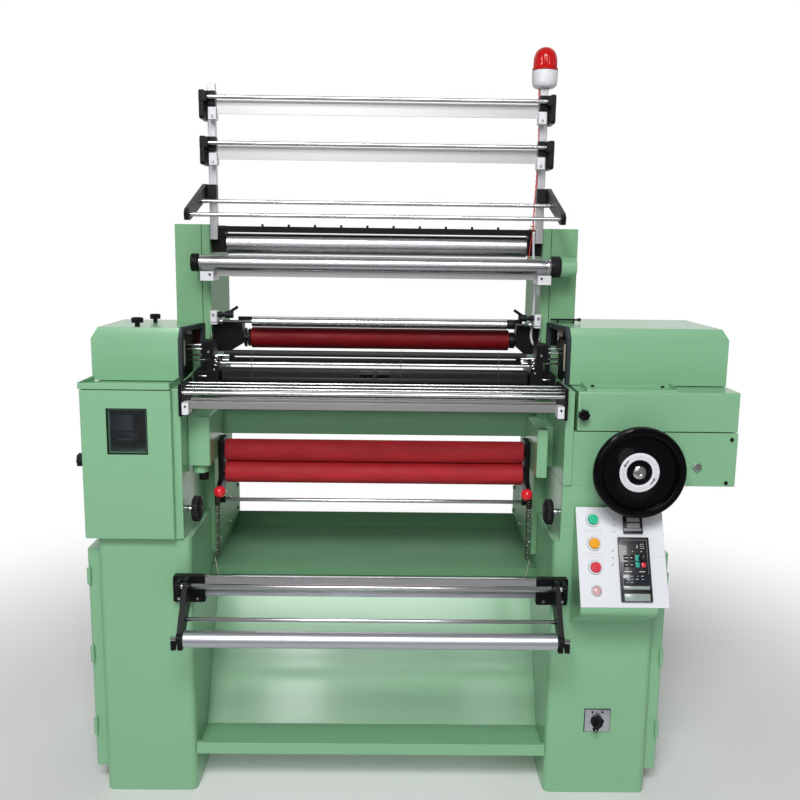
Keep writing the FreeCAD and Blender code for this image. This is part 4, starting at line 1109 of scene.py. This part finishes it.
# ---------------------------------------------------------------- controls
@dataclass
class Handwheel:
    """Dished handwheel on the front of the gearbox, with a ring of graduations."""

    centre: Point = (639.0, -75.0, 889.0)
    marks: int = 60
    arrow_ends: tuple[float, float] = (134.0, 314.0)
    arrow_radius: float = 39.5

    def build(self) -> None:
        """Makes the wheel, its hub, its ring, its nut and its shaft."""
        rim = [(30.6, 11), (30.6, 0.5), (49, 0.5), (50, 1), (82, 6.2), (86, 5.6), (89, 2), (91.4, -7.5),
               (93.5, -11.4), (98, -13), (105, -13), (109.5, -10.6), (112, -6), (112, 4), (109.6, 9.4),
               (105, 12.4), (97, 13), (88, 11), (30.6, 11)]
        hub = [(16.6, 8), (16.6, -1.2), (18, -3.2), (22, -4.3), (27, -3.6), (30.5, -0.4), (30.5, 10.9),
               (28, 16), (24, 44), (12, 44), (12, 8), (16.6, 8)]
        ring = [(31.2, 0.9), (31.2, -0.9), (32, -1.3), (47.2, -1.3), (48, -0.9), (48, 0.9), (31.2, 0.9)]
        nut = [(0, -1), (5.4, -1), (5.4, -4), (6.6, -4.8), (13, -4.2), (15.8, -2.2), (16.4, -0.4), (16.4, 8),
               (0, 8)]
        self.turn(rim, 128, "wheel_rim", BLACK_GLOSS, "handwheel")
        self.turn(hub, 96, "wheel_hub", BLACK_GLOSS)
        self.turn(ring, 96, "wheel_ring", LABEL)
        self.turn(nut, 48, "wheel_nut", STEEL)
        self.graduations()
        x, _, z = self.centre
        shaft = Shape().rod((x, -31, z), (x, 302, z), 12.0, 1.0).rod((x, 278, z), (x, 302, z), 45.0, 1.5, 64)
        shaft.piece("wheel_shaft", STEEL, body="handwheel")

    def turn(self, profile: list[Flat], steps: int, name: str, finish: Finish, *nodes: str) -> None:
        """Turns one part of the wheel about its axis.

        Args:
            profile: Radius and height of each point, where less height is nearer the front.
            steps: Faces round it.
            name: The piece's name.
            finish: What it is finished with.
            *nodes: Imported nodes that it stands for.
        """
        Shape().lathe(profile, self.centre, (0, 1, 0), steps).piece(name, finish, *nodes, body="handwheel")

    def graduations(self) -> None:
        """Prints the ring with tick marks and two curved arrows."""
        place = Matrix.Translation((self.centre[0], self.centre[1] - 1.3, self.centre[2]))
        ticks, arrows = Shape(), Shape()
        for index in range(self.marks):
            turn = Matrix.Rotation(math.tau * index / self.marks, 4, "Y")
            ticks.join(Shape().block((-0.3, 0.3), (-0.15, 0.1), (37.5, 41.5), 0.0).turned(place @ turn))
        ticks.piece("wheel_marks", GREY_INK, body="handwheel", slot="black_plastic")
        r = self.arrow_radius
        for start in self.arrow_ends:
            turns = [math.radians(start + 2.0 * step) for step in range(11)]
            band = [(radius * math.cos(turn), 0.1, radius * math.sin(turn))
                    for radius, way in ((r - 1.3, turns), (r + 1.3, turns[::-1])) for turn in way]
            base, tip = math.radians(start + 19.0), math.radians(start + 27.0)
            head = [((r + off) * math.cos(turn), 0.1, (r + off) * math.sin(turn))
                    for off, turn in ((-3.2, base), (3.2, base), (0.0, tip))]
            for outline in (band, head):
                arrows.join(Shape().prism(outline, (0, -0.4, 0)).turned(place))
        arrows.piece("wheel_arrows", INK, body="handwheel")


@dataclass
class Console:
    """Sloping control panel with buttons, counter and keypad; places run along X and down its slope."""

    top: Flat = (-10.0, 783.0)
    low: Flat = (-122.0, 566.0)
    button_x: float = 543.5
    steps: tuple[float, float, float, float] = (32.0, 91.0, 149.0, 205.0)
    ring: Flat = (12.9, 17.0)
    lamp_ring: Flat = (10.92, 12.6)
    knob: Flat = (657.0, 127.0)

    def slope(self) -> Matrix:
        """Gives the matrix from the panel's own frame to the machine's."""
        angle = math.atan2(self.top[1] - self.low[1], self.top[0] - self.low[0])
        return Matrix.Translation((0.0, *self.top)) @ Matrix.Rotation(angle, 4, "X")

    def build(self) -> None:
        """Makes the case, the panel and everything on it."""
        dress("console_case", GREEN, 0.8)
        dress("console_panel", PANEL, 0.5)
        self.buttons()
        self.counter()
        self.keypad()
        self.speed_knob()
        dashes = tuple((x, x + 4.6, down, down + 1.4) for down in (56.4, 113.6) for x in range(521, 562, 8))
        lines = ((520, 565, 60.4, 60.9), (520, 565, 121.4, 121.9), (664, 693, 41.4, 42.4),
                 (680, 706, 121.6, 122.6))
        signs = tuple((x, x + 5, down, down + 5) for x, down in
                      ((595, 27), (594, 42), (593, 58), (586, 105), (585, 122), (584, 139)))
        self.lay("panel_marks", FAINT_INK, (1.9, 2.15), 0.0, dashes + lines + signs)

    def lay(self, name: str, finish: Finish, heights: Flat, edge: float,
            fields: tuple[tuple[float, float, float, float], ...], *nodes: str) -> None:
        """Makes a piece of flat blocks on the panel.

        Args:
            name: The piece's name.
            finish: What it is finished with.
            heights: Its foot and top over the panel's own plane.
            edge: Radius of the blocks' edges.
            fields: Left, right, upper and lower edge of each block.
            *nodes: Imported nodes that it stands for.
        """
        flat = Shape()
        for left, right, upper, lower in fields:
            flat.block((left, right), (-lower, -upper), heights, edge)
        flat.turned(self.slope()).piece(name, finish, *nodes)

    def buttons(self) -> None:
        """Makes the three buttons, the lamp and their rings."""
        kinds = (("start_button", BUTTON_GREEN), ("jog_button", BUTTON_YELLOW), ("stop_button", BUTTON_RED))
        cap = [(0, -3), (8, -3), (8, 5), (12.4, 5), (12.5, 5.6), (12.5, 11.4), (11.4, 12.7), (0, 13)]
        up, rings, feet = (0, 0, 1), Shape(), Shape()
        for (name, finish), step in zip(kinds, self.steps):
            button = Shape().lathe(cap, (self.button_x, -step, 0), up, 48)
            button.turned(self.slope()).piece(f"{name}_cap", finish, name, body=name)
        for step, (near, far) in zip(self.steps, (self.ring, self.ring, self.ring, self.lamp_ring)):
            place, rim = (self.button_x, -step, 0), far - 0.2
            ring = [(near, 2), (near, 6.2), (near + 0.7, 7), (far - 1.4, 7), (far, 5.4), (far, 2), (near, 2)]
            rings.lathe(ring, place, up, 64)
            feet.lathe([(rim, 2), (rim, 2.35), (far + 0.9, 2.35), (far + 0.9, 2), (rim, 2)], place, up, 64)
        rings.turned(self.slope()).piece("button_rings", PANEL, "switch_and_bezels")
        feet.turned(self.slope()).piece("button_outlines", GREY_INK, slot="white_plastic")
        lamp = Shape().lathe([(0, 0), (10.5, 0), (10.5, 7.2), (8.6, 8.7), (4, 9.3), (0, 9.4)],
                             (self.button_x, -self.steps[3], 0), up, 48)
        lamp.turned(self.slope()).piece("run_lamp", LAMP_PINK)

    def counter(self) -> None:
        """Makes the digit counter."""
        self.lay("counter_body", PAD, (2, 8.6), 1.2, ((617, 665, 19, 66),), "keypad_module")
        rows = ((626, 658, 25.2, 37.6), (626, 658, 40, 52.4), (618, 661, 53.4, 59.6))
        self.lay("counter_rows", GREY_INK, (8.2, 9.0), 0.3, rows)
        digits = []
        for down in (31.4, 46.2):
            for x in (630, 636, 642, 648, 654):
                for side in (-1.6, 1.6):
                    level = down + side * 2.2
                    digits.append((x + side - 0.5, x + side + 0.5, down - 4, down + 4))
                    digits.append((x - 1.4, x + 1.4, level - 0.5, level + 0.5))
        self.lay("counter_digits", DIGIT, (8.9, 9.3), 0.0, tuple(digits))

    def keypad(self) -> None:
        """Makes the keypad with its films, its keys and its marks."""
        face, film, low_keys, high_keys = (10.5, 10.8), (10.4, 10.9), (10.4, 11.5), (10.4, 12.2)
        self.lay("keypad_body", PAD, (2, 10.6), 2.2, ((601, 677, 75, 231),))
        frame_lines = ((607.5, 671, 82, 82.7), (607.5, 671, 194.3, 195), (607.5, 608.2, 82, 195),
                       (670.3, 671, 82, 195))
        self.lay("keypad_line", GREY_INK, face, 0.0, frame_lines)
        self.lay("keypad_film", NAVY, film, 0.2, ((608.5, 671, 164.8, 190.5),))
        self.lay("keypad_bands", MIST, film, 0.2, ((607.5, 671, 193.4, 201.5), (608.5, 670.5, 211.6, 229)))
        square = tuple((x, x + 11, down, down + 11.5) for x in (612, 626) for down in (119.5, 136.5))
        self.lay("keypad_keys", GASKET, low_keys, 0.8, square)
        teal = ((640, 651.4, 118.7, 133.2), (640, 650, 135.7, 148.8))
        self.lay("keypad_teal_keys", KEY_TEAL, high_keys, 1.0, teal)
        self.lay("keypad_stop_key", BUTTON_RED, high_keys, 1.0, ((654.7, 664.8, 136.7, 148.7),))
        dots = tuple((x, x + 1.6, down, down + 2.0)
                     for x in (654.4, 658, 661.6) for down in (91.5, 96.5, 101.5))
        bars = ((645.7, 647.5, 94, 102.5), (612, 617, 109.5, 111.1), (633, 637, 109.5, 111.1),
                (654, 658, 109.5, 111.1), (610.5, 630, 157.7, 160), (648, 662, 157.7, 160))
        self.lay("keypad_marks", DIGIT, (10.5, 10.85), 0.0, dots + bars)
        keys = ((612.8, 622, 124.6, 126.6), (628, 633, 124.6, 126.6), (615, 621, 141.6, 143.6),
                (628, 633, 141.6, 143.6))
        self.lay("keypad_key_marks", DIGIT, (11.4, 11.7), 0.0, keys)
        specks = []
        for index in range(10):
            x, down = 612 + 13 * (index % 4), 169 + 7.5 * (index // 4)
            specks.append((x + 2 * (index % 3), x + 7, down, down + 1.2))
        self.lay("keypad_specks", DIGIT, (10.8, 11.05), 0.0, tuple(specks))

    def speed_knob(self) -> None:
        """Makes the speed knob with its pointer."""
        x, y = self.knob[0], -self.knob[1]
        profile = [(0, 4.2), (3.9, 4.2), (3.9, 11.3), (9, 11.3), (9, 15), (8, 16), (7.4, 23.2), (6.6, 24),
                   (0, 24)]
        knob = Shape().lathe(profile, (x, y, 0), (0, 0, 1), 48).turned(self.slope())
        knob.piece("speed_dial", BLACK_PLASTIC, "speed_knob", body="speed_knob")
        pointer = Shape().block((x - 0.6, x + 0.6), (y + 0.5, y + 6.2), (23.6, 24.4), 0.1)
        pointer.turned(self.slope()).piece("speed_pointer", GREY_INK, body="speed_knob", slot="white_plastic")


@dataclass
class MainSwitch:
    """Rotary main switch low on the right pedestal."""

    centre: Flat = (586.0, 206.0)
    lean: float = math.radians(28.0)

    def build(self) -> None:
        """Makes the plate, its screws and the knob."""
        x, z = self.centre
        plate = Shape().block((555, 621), (-4.0, 0), (176, 237), 1.2)
        plate.piece("switch_plate", SATIN, slot="white_plastic")
        Shape().block((553.5, 622.5), (-1.2, 0), (174.5, 238.5), 0.4).piece("switch_gasket", GASKET)
        screws = Shape().screw((574, -4.0, 231), (0, -1, 0), 2.6).screw((600, -4.0, 231), (0, -1, 0), 2.6)
        screws.piece("switch_screws", BLACK_PAINT)
        boss = [(0, 4.2), (16, 4.2), (16, 9), (15, 11), (14, 18), (0, 18)]
        knob = Shape().lathe(boss, (x, 0, z), (0, -1, 0), 64)
        grip = [(x + across, -17.5, z + up) for across, up in ((-7, 18), (7, 18), (6, -20), (-6, -20))]
        knob.prism(grip, (0, -12.0, 0), 2.2, 3)
        place = Matrix.Translation((x, 0, z))
        turn = place @ Matrix.Rotation(self.lean, 4, "Y") @ place.inverted()
        knob.turned(turn).piece("switch_knob", BLACK_PLASTIC, "main_switch", body="main_switch")
        dot = Shape().rod((x, -29.2, z - 14.5), (x, -29.9, z - 14.5), 1.6, 0.1, 16).turned(turn)
        dot.piece("switch_dot", LABEL, body="main_switch")


# ---------------------------------------------------------------- yarn frame
@dataclass
class YarnFrame:
    """Posts, clamps and guide bars over the feed rollers."""

    levels: Flat = (1783.0, 1670.0)
    teeth: int = 150

    def build(self) -> None:
        """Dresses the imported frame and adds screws, fine teeth and the ivory plates."""
        dress("posts", POST_SKIN, 0.6)
        dress("black_clamps", BLACK_PLASTIC, 1.0)
        dress("guide_rods", STEEL)
        dress("guide_strips", ALUMINIUM, 0.3)
        dress("end_blocks", WHITE_PLASTIC, 0.8)
        screws = Shape()
        for z in self.levels:
            screws.screw((452.0, 243.0, z - 38), (1, 0, 0), 4.5).screw((452.0, 263.0, z + 4), (1, 0, 0), 4.5)
            screws.screw((422.0, 222.0, z - 46), (0, -1, 0), 3.2)
        screws.screw((431.0, 225.0, 1231.0), (0, -1, 0), 4.2)
        screws.mirror().piece("clamp_screws", STEEL)
        dark = Shape().screw((426.0, 168.0, 1338.0), (0, -1, 0), 2.8)
        dark.screw((454.0, -28.0, 1029.0), (0, -1, 0), 2.6)
        dark.block((421.5, 438.0), (224.4, 225.2), (1210, 1211.6), 0.1)
        dark.mirror().piece("block_screws", BLACK_PAINT)
        row = Shape()
        for index in range(self.teeth):
            x = -400.0 + 800.0 * index / (self.teeth - 1)
            lift = 1.8 * math.sin(index * 2.3) + 1.2 * math.sin(index * 5.1)
            row.block((x - 0.6, x + 0.6), (235.4, 236.6), (1664.0, 1682.0 + lift), 0.0)
        row.piece("guide_teeth", WHITE_PLASTIC, slot="aluminium_bar")
        plates = Shape().block((-505.3, -489.7), (139.7, 150.3), (1104.7, 1172.3), 0.8)
        plates.block((-505.3, -498.7), (141.7, 148.3), (1068, 1105), 0.4)
        plates.block((487.7, 505.3), (139.7, 150.3), (1102.7, 1172.3), 0.8)
        plates.block((499.7, 505.3), (141.7, 148.3), (1072, 1103), 0.4)
        plates.piece("ivory_plates", IVORY)


@dataclass
class Beacon:
    """Red signal lamp on its white foot, with its lead along the right post."""

    centre: Point = (430.0, 265.0, 1822.0)
    lead: Flat = (416.0, 262.0)
    lead_end: float = 1455.0
    fluted: Flat = (51.0, 75.0)
    flute_over: float = 29.5
    flutes: int = 24
    flute_depth: float = 0.7
    cable: tuple[Point, ...] = ((416.0, 262.0, 1452.0), (416.5, 262.0, 1420.0), (418.0, 262.0, 1387.0),
                                (423.0, 263.0, 1340.0), (425.0, 264.0, 1300.0), (424.0, 264.0, 1250.0),
                                (420.0, 263.0, 1200.0), (418.0, 262.0, 1175.0), (428.0, 262.0, 1152.0),
                                (440.0, 262.0, 1150.0))
    red_tail: tuple[Point, ...] = ((413.0, 262.0, 1456.0), (409.0, 262.0, 1430.0), (406.0, 262.0, 1400.0),
                                   (404.0, 262.0, 1370.0), (412.0, 262.0, 1350.0), (421.0, 263.0, 1342.0))

    def build(self) -> None:
        """Makes the foot, the ribbed dome and the lead."""
        up, at = (0, 0, 1), self.centre
        foot = [(0, 0), (19, 0), (26, 2.4), (31, 8), (32.6, 17), (33, 30), (33, 43.2), (32.2, 44), (0, 44)]
        Shape().lathe(foot, at, up, 96).piece("beacon_foot", WHITE_PLASTIC, "beacon_base")
        seam = Shape().lathe([(28, 43.4), (32.6, 43.4), (32.6, 45.4), (28, 45.4)], at, up, 96)
        seam.piece("beacon_seam", GASKET)
        dome = [(28, 45), (33, 45), (33, 50), (30.6, 52), (30.4, 72), (29, 79), (26.6, 86.5), (23, 92.5),
                (18, 97.4), (12, 100.8), (6, 102.5), (0, 103), (0, 101), (6, 100.4), (11.5, 98.8), (17, 95.6),
                (21.6, 91), (25, 85.6), (27.2, 78.6), (28.2, 72), (28, 45)]
        lens = Shape().lathe(dome, at, up, 96)
        self.flute(lens)
        lens.piece("beacon_dome", RED_LENS, "beacon_lens")
        bulb = [(0, 44), (9, 44), (9, 58), (7, 60), (8, 68), (7, 76), (4, 80), (0, 81)]
        Shape().lathe(bulb, at, up, 48).piece("beacon_bulb", WHITE_PLASTIC)
        self.wires()

    def flute(self, lens: Shape) -> None:
        """Presses upright flutes into the dome's lower band.

        Args:
            lens: The dome.
        """
        cx, cy, cz = self.centre
        for vert in lens.bm.verts:
            height, offset = vert.co.z - cz, Vector((vert.co.x - cx, vert.co.y - cy, 0.0))
            if self.fluted[0] < height < self.fluted[1] and offset.length > self.flute_over:
                wave = math.cos(self.flutes * math.atan2(offset.y, offset.x))
                vert.co += offset.normalized() * (self.flute_depth * (wave - 1.0))

    def wires(self) -> None:
        """Twists the two wires down the post and joins them to the pale cable."""
        high, low, twist, apart = self.centre[2], self.lead_end, 26.0, 1.7
        wires, count = Shape(), int((high - low) / 4.0)
        for phase in (0.0, math.pi):
            route = []
            for index in range(count + 1):
                down = (high - low) * index / count
                angle = phase + math.tau * down / twist
                sway = 4.0 * math.sin(down / 90.0) * min(1.0, (count - index) / 8)
                x, y = self.lead[0] + sway + apart * math.cos(angle), self.lead[1] + apart * math.sin(angle)
                route.append((x, y, high - down))
            wires.wire(route, 1.2)
        wires.wire(list(self.red_tail), 1.2, True)
        wires.wire([(415, 261, 1466), (410, 254, 1474), (404, 247, 1472)], 1.2, True)
        wires.piece("beacon_wires", WIRE_RED, "beacon_cable")
        tail = Shape().wire([(414, 261, 1462), (408, 252, 1468), (402, 244, 1464)], 1.2, True)
        tail.piece("yellow_wire", WIRE_YELLOW)
        cable = Shape().wire(list(self.cable), 3.2, True)
        cable.rod((416, 262, 1458), (416, 262, 1446), 3.8, 0.6, 20)
        cable.block((431, 440), (258, 268), (1290, 1314), 1.2).piece("beacon_cable_run", SLEEVE)


# ---------------------------------------------------------------- rollers
@dataclass(frozen=True)
class Collar:
    """One step on a roller's end: reach along X, radius, finish, the record's slot and number of ribs."""

    reach: Flat
    radius: float
    finish: Finish = BLACK_PLASTIC
    slot: str = "black_metal"
    ribs: int = 0


@dataclass
class Roller:
    """One roller across the machine, with its shaft and its collars."""

    name: str
    body: str
    yz: Flat
    radius: float
    reach: Flat
    shaft: float
    shaft_reach: Flat
    finish: Finish
    collars: tuple[Collar, ...] = ()

    def build(self) -> None:
        """Turns the drum, the shaft and the collars."""
        y, z = self.yz
        soft, (left, right), r = 1.5, self.reach, self.radius
        drum = [(self.shaft, left + 2), (r - 4, left + 2), (r - 4, left), (r - soft, left), (r, left + soft),
                (r, right - soft), (r - soft, right), (r - 4, right), (r - 4, right - 2),
                (self.shaft, right - 2)]
        body = Shape().lathe(drum, (0, y, z), (1, 0, 0), 96)
        body.piece(f"{self.name}_drum", self.finish, self.name, body=self.body)
        shaft = Shape().rod((self.shaft_reach[0], y, z), (self.shaft_reach[1], y, z), self.shaft, 0.8)
        shaft.piece(f"{self.name}_shaft", STEEL, body=self.body)
        for index, collar in enumerate(self.collars):
            (start, end), sunk = collar.reach, 0.8
            foot = collar.radius - sunk
            ring = Shape().rod((start, y, z), (end, y, z), collar.radius, 0.8, 64)
            for rib in range(collar.ribs):
                angle = math.tau * rib / collar.ribs
                rib_y, rib_z = y + foot * math.cos(angle), z + foot * math.sin(angle)
                ring.rod((start + sunk, rib_y, rib_z), (end - sunk, rib_y, rib_z), 1.5, 0.0, 8)
            ring.piece(f"{self.name}_collar_{index + 1}", collar.finish, body=self.body, slot=collar.slot)


def rollers() -> list[Roller]:
    """Lists the machine's rollers, from the top down."""
    steel = "bright_steel"
    feed = (Collar((438, 441), 17.0, STEEL, steel), Collar((441, 453), 20.0, STEEL, steel),
            Collar((453, 475), 26.4, BLACK_PLASTIC, "black_plastic", 36))
    rear = (Collar((-357, -351), 25.2, ribs=24), Collar((-347, -341), 23.4, ribs=24),
            Collar((363, 377), 22.0))
    guide = (Collar((352, 372), 12.0), Collar((-418, -410), 8.0, STEEL, steel),
             Collar((410, 418), 8.0, STEEL, steel))
    return [
        Roller("feed_roller_rear", "feed_roller_rear", (300.0, 1417.0), 28.0, (-402.0, 402.0),
               9.0, (-436.0, 436.0), ROLLER_STEEL),
        Roller("feed_roller_front", "feed_roller_front", (190.0, 1368.0), 20.0, (-456.0, 438.0),
               8.0, (-474.0, 500.0), ROLLER_STEEL, feed),
        Roller("guide_roller", "guide_roller", (245.0, 1212.0), 13.0, (-331.0, 351.0),
               4.0, (-438.0, 438.0), STEEL, guide),
        # The rear roller takes the darker red rubber, which is painted shade.
        Roller("rear_roller", "rear_roller", (287.0, 1166.0), 28.0, (-338.0, 360.0),
               10.0, (-436.0, 436.0), PAINTED_SHADE_RED_RUBBER, rear),
        Roller("takeup_roller_upper", "takeup_upper", (200.0, 872.0), 29.5, (-398.0, 398.0),
               10.0, (-436.0, 436.0), RED_RUBBER),
        Roller("takeup_roller_lower", "takeup_lower", (200.0, 812.6), 29.5, (-398.0, 398.0),
               10.0, (-413.0, 413.0), RED_RUBBER),
        Roller("tension_roller", "tension_roller", (-145.0, 488.0), 20.0, (-445.0, 445.0),
               6.0, (-477.0, 477.0), SATIN),
    ]


# ---------------------------------------------------------------- knitting zone
@dataclass
class KnittingBed:
    """Bed beam, bright rods, needle comb, weft bar and their small fittings."""

    half: float = 388.0
    centre_gap: float = 38.0
    needles: int = 210
    needle_width: float = 0.9
    wires_x: tuple[float, float, float] = (-312.0, 66.0, 315.0)

    def build(self) -> None:
        """Dresses the bed and builds the fine parts."""
        dress("bed_beam", BLACK_PAINT, 1.0)
        dress("presser_bar", BLACK_PAINT, 0.8)
        dress("front_rods", STEEL)
        dress("roller_bearings", BLACK_PAINT, 1.0)
        self.comb()
        self.weft_bar()
        self.fittings()

    def comb(self) -> None:
        """Sets the needles in their two fields on the comb's plate, and the guide wires over it."""
        plate = Shape().block((-self.half, self.half), (112, 205), (1091, 1095), 0.5)
        plate.block((-self.half, self.half), (108, 115), (1073, 1083), 0.6)
        plate.block((-self.half, self.half), (108, 112.5), (1103, 1108), 0.4)
        plate.block((-6, 6), (106, 112), (1082, 1106), 0.6)
        plate.piece("comb_plate", NEEDLE, "needle_comb", body="needle_comb")
        needles, wide = Shape(), self.needle_width / 2
        pitch = (self.half - self.centre_gap) / self.needles
        for side in (-1, 1):
            for index in range(self.needles):
                x = side * (self.centre_gap + pitch * (index + 0.5))
                needles.block((x - wide, x + wide), (107.4, 111.0), (1083, 1104), 0.0)
        needles.piece("comb_needles", NEEDLE, body="needle_comb")
        wires = Shape()
        for x in self.wires_x:
            wires.wire([(x, 107, 1076), (x, 104, 1110), (x, 104.5, 1146), (x, 112, 1153)], 0.8, True)
        wires.piece("guide_wires", STEEL, body="needle_comb")

    def weft_bar(self) -> None:
        """Makes the weft bar with its ground rods."""
        bar = Shape().block((-380, 380), (160, 188), (1110, 1124), 1.0)
        for side in (-1, 1):
            bar.block(tuple(sorted((side * 368.0, side * 380.0))), (168, 182), (1124, 1134), 0.8)
        bar.piece("weft_bar_body", BLACK_PAINT, "weft_bar", body="weft_bar")
        rods = Shape()
        for z in (1117.0, 1129.0):
            rods.rod((376, 175, z), (486, 175, z), 3.0, 0.6, 24)
            rods.rod((-486, 175, z), (-376, 175, z), 3.0, 0.6, 24)
        rods.piece("weft_bar_rods", STEEL, body="weft_bar")

    def fittings(self) -> None:
        """Makes the rail's strip, the end blocks' hooks and screws, and the wiper over the rear roller."""
        strip = Shape().block((-398, 398), (190.4, 192.0), (1131, 1139.5), 0.3)
        strip.piece("rail_strip", SLATE)
        bright = Shape()
        for z in (1129.0, 1116.0):
            turns = [math.radians(30.0 * step + 30.0) for step in range(11)]
            hook = [(404 + 4.5 * math.cos(turn), 113.2, z + 4.5 * math.sin(turn)) for turn in turns]
            bright.wire(hook, 1.1, True)
        bright.screw((430, 150, 1141), (0, -1, 0), 3.6).screw((409, 114, 1100), (0, -1, 0), 3.0)
        bright.rod((429, 128, 1081), (452, 128, 1081), 2.8, 0.4, 20)
        bright.rod((430, 190, 1167), (430, 190, 1184), 3.4, 0.5, 20)
        bright.mirror().piece("bed_fittings", STEEL)
        wiper = Shape().block((-372, 395), (268, 286), (1214, 1223), 0.8)
        wiper.block((-371, -363), (274, 284), (1205.5, 1215), 0.6)
        wiper.block((383, 391), (274, 284), (1206.5, 1215), 0.6)
        wiper.piece("wiper_bar", BLACK_PAINT)


# ---------------------------------------------------------------- take-off controls
@dataclass
class TakeOff:
    """Release levers with red balls, pull springs and ribbed hand knobs."""

    rod_yz: Flat = (120.0, 757.0)
    ball: Point = (395.0, 80.0, 788.0)
    ball_radius: float = 15.5
    spring_top: Point = (400.0, 74.0, 770.0)
    spring_foot: Point = (390.0, 4.0, 640.0)
    hook_end: Point = (384.2, -15.0, 599.6)
    turns: int = 24
    coil: float = 6.0
    wire: float = 1.2

    def build(self) -> None:
        """Makes the levers, the springs and the hand knobs."""
        self.levers()
        self.springs()
        for side, name in ((-1, "left_hand_knob"), (1, "right_hand_knob")):
            self.hand_knob(side, name)

    def levers(self) -> None:
        """Makes the cross rod, its levers and their balls."""
        y, z = self.rod_yz
        rod = Shape().rod((-413, y, z), (413, y, z), 5.0, 0.8)
        rod.piece("release_rod", STEEL, "release_levers", body="release_levers")
        x, by, bz = self.ball
        lever = Shape().rod((x, y, z), self.ball, 4.0).rod((x - 7, y, z), (x + 6.5, y, z), 9.0, 1.0)
        lever.mirror().piece("release_arms", BLACK_PAINT, body="release_levers")
        balls = Shape().ball(self.ball, self.ball_radius).ball((-x, by, bz), self.ball_radius)
        balls.piece("release_balls", BALL_RED, body="release_levers")

    def springs(self) -> None:
        """Winds both pull springs with their hooks."""
        top, foot = Vector(self.spring_top), Vector(self.spring_foot)
        axis = (foot - top).normalized()
        side = (Vector((1, 0, 0)) - axis * axis.x).normalized()
        across = axis.cross(side)
        steps = 16
        pitch = (foot - top).length / self.turns
        route = []
        for index in range(self.turns * steps + 1):
            angle = math.tau * index / steps
            place = top + axis * (pitch * index / steps) + side * (self.coil * math.cos(angle))
            route.append(tuple(place + across * (self.coil * math.sin(angle))))
        spring = Shape().wire(route, self.wire).wire([route[-1], self.hook_end], 1.1)
        spring.mirror().piece("spring_coils", OILED, "pull_springs")

    def hand_knob(self, side: int, name: str) -> None:
        """Makes one ribbed knob on its shaft.

        Args:
            side: -1 for the left and 1 for the right.
            name: Its body and node.
        """
        y, z, ribs = 40.0, 755.0, 30
        dome = [(0, 0), (29, 0), (31, 1.5), (31, 15), (28.5, 18.5), (24, 21.2), (14, 23.5), (0, 24)]
        knob = Shape().lathe(dome, (side * 455, y, z), (-side, 0, 0), 96)
        for index in range(ribs):
            angle = math.tau * index / ribs
            py, pz = y + 30.2 * math.cos(angle), z + 30.2 * math.sin(angle)
            knob.rod((side * 438, py, pz), (side * 453, py, pz), 2.4, 0.6, 10)
        knob.piece(f"{name}_grip", BLACK_PLASTIC, name, body=name)
        shaft = Shape().rod((side * 455, y, z), (side * 474, y, z), 8.0, 0.6)
        shaft.piece(f"{name}_shaft", STEEL, body=name)


@dataclass
class TensionFrame:
    """Blocks, arms and rods that keep the cloth tight below the take-up rollers."""

    pivot: Flat = (-58.0, 586.0)
    rod: Flat = (-112.0, 523.6)
    screws: tuple[Flat, ...] = ((-484.0, 582.0), (-484.0, 539.0), (-437.0, 539.0), (478.0, 582.0),
                                (478.0, 539.0), (431.0, 539.0))

    def build(self) -> None:
        """Dresses the blocks, the strip and the arms, and adds bright sleeves, feet and screws."""
        dress("tension_blocks", BLACK_PAINT, 1.2)
        dress("tension_strip", STEEL, 0.5)
        dress("tension_arms", BLACK_PAINT)
        y, z = self.pivot
        sleeves = Shape().rod((-450, y, z), (450, y, z), 6.6, 0.2).rod((462, y, z), (471, y, z), 6.6, 0.2)
        sleeves.rod((-471, y, z), (-462, y, z), 6.6, 0.2).rod((-450, *self.rod), (450, *self.rod), 5.15, 0.1)
        sleeves.piece("tension_sleeves", STEEL, body="tension_arms")
        screws = Shape()
        for x, z in self.screws:
            screws.screw((x, -20.0, z), (0, -1, 0), 4.0)
        screws.piece("tension_screws", STEEL)
        feet = Shape().block((464, 476), (-152, -138), (461, 484), 1.0)
        feet.block((448, 460), (-152, -138), (461, 476), 1.0)
        feet.mirror().piece("tension_feet", BLACK_PAINT, body="tension_arms")


@dataclass
class Drive:
    """Motor, pulleys, belt and main shaft inside the housings."""

    def build(self) -> None:
        """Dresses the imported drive."""
        for node, finish in (("main_shaft", STEEL), ("motor", MOTOR_GREY), ("motor_pulley", STEEL),
                             ("drive_belt", BELT_RUBBER)):
            dress(node, finish)


def main() -> None:
    """Builds the studio and then the machine, one sub-assembly after the other."""
    logging.basicConfig(level=logging.INFO, format="%(message)s")
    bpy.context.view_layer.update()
    left_plate = ((125.0, 1152.0), (234.0, 1152.0), (234.0, 1190.0), (125.0, 1165.0))
    right_plate = ((150.0, 1150.0), (234.0, 1150.0), (234.0, 1190.0), (150.0, 1168.0))
    hood_knobs = (((-605.0, 130.0, 1216.0), 15.5), ((-590.0, 250.0, 1216.0), 14.0))
    assemblies = [Studio(), Housing(), Cabinet(),
                  Hood("left", -1.0, 1068.0, 1206.0, left_plate, DARK_RED, hood_knobs),
                  Hood("right", 1.0, 1072.0, 1218.0, right_plate, BLACK_PAINT), HoodBits(),
                  Gearbox(), Handwheel(), Console(), MainSwitch(), YarnFrame(), Beacon(), *rollers(),
                  KnittingBed(), TakeOff(), TensionFrame(), Drive()]
    for assembly in assemblies:
        assembly.build()


if __name__ == "__main__":
    main()
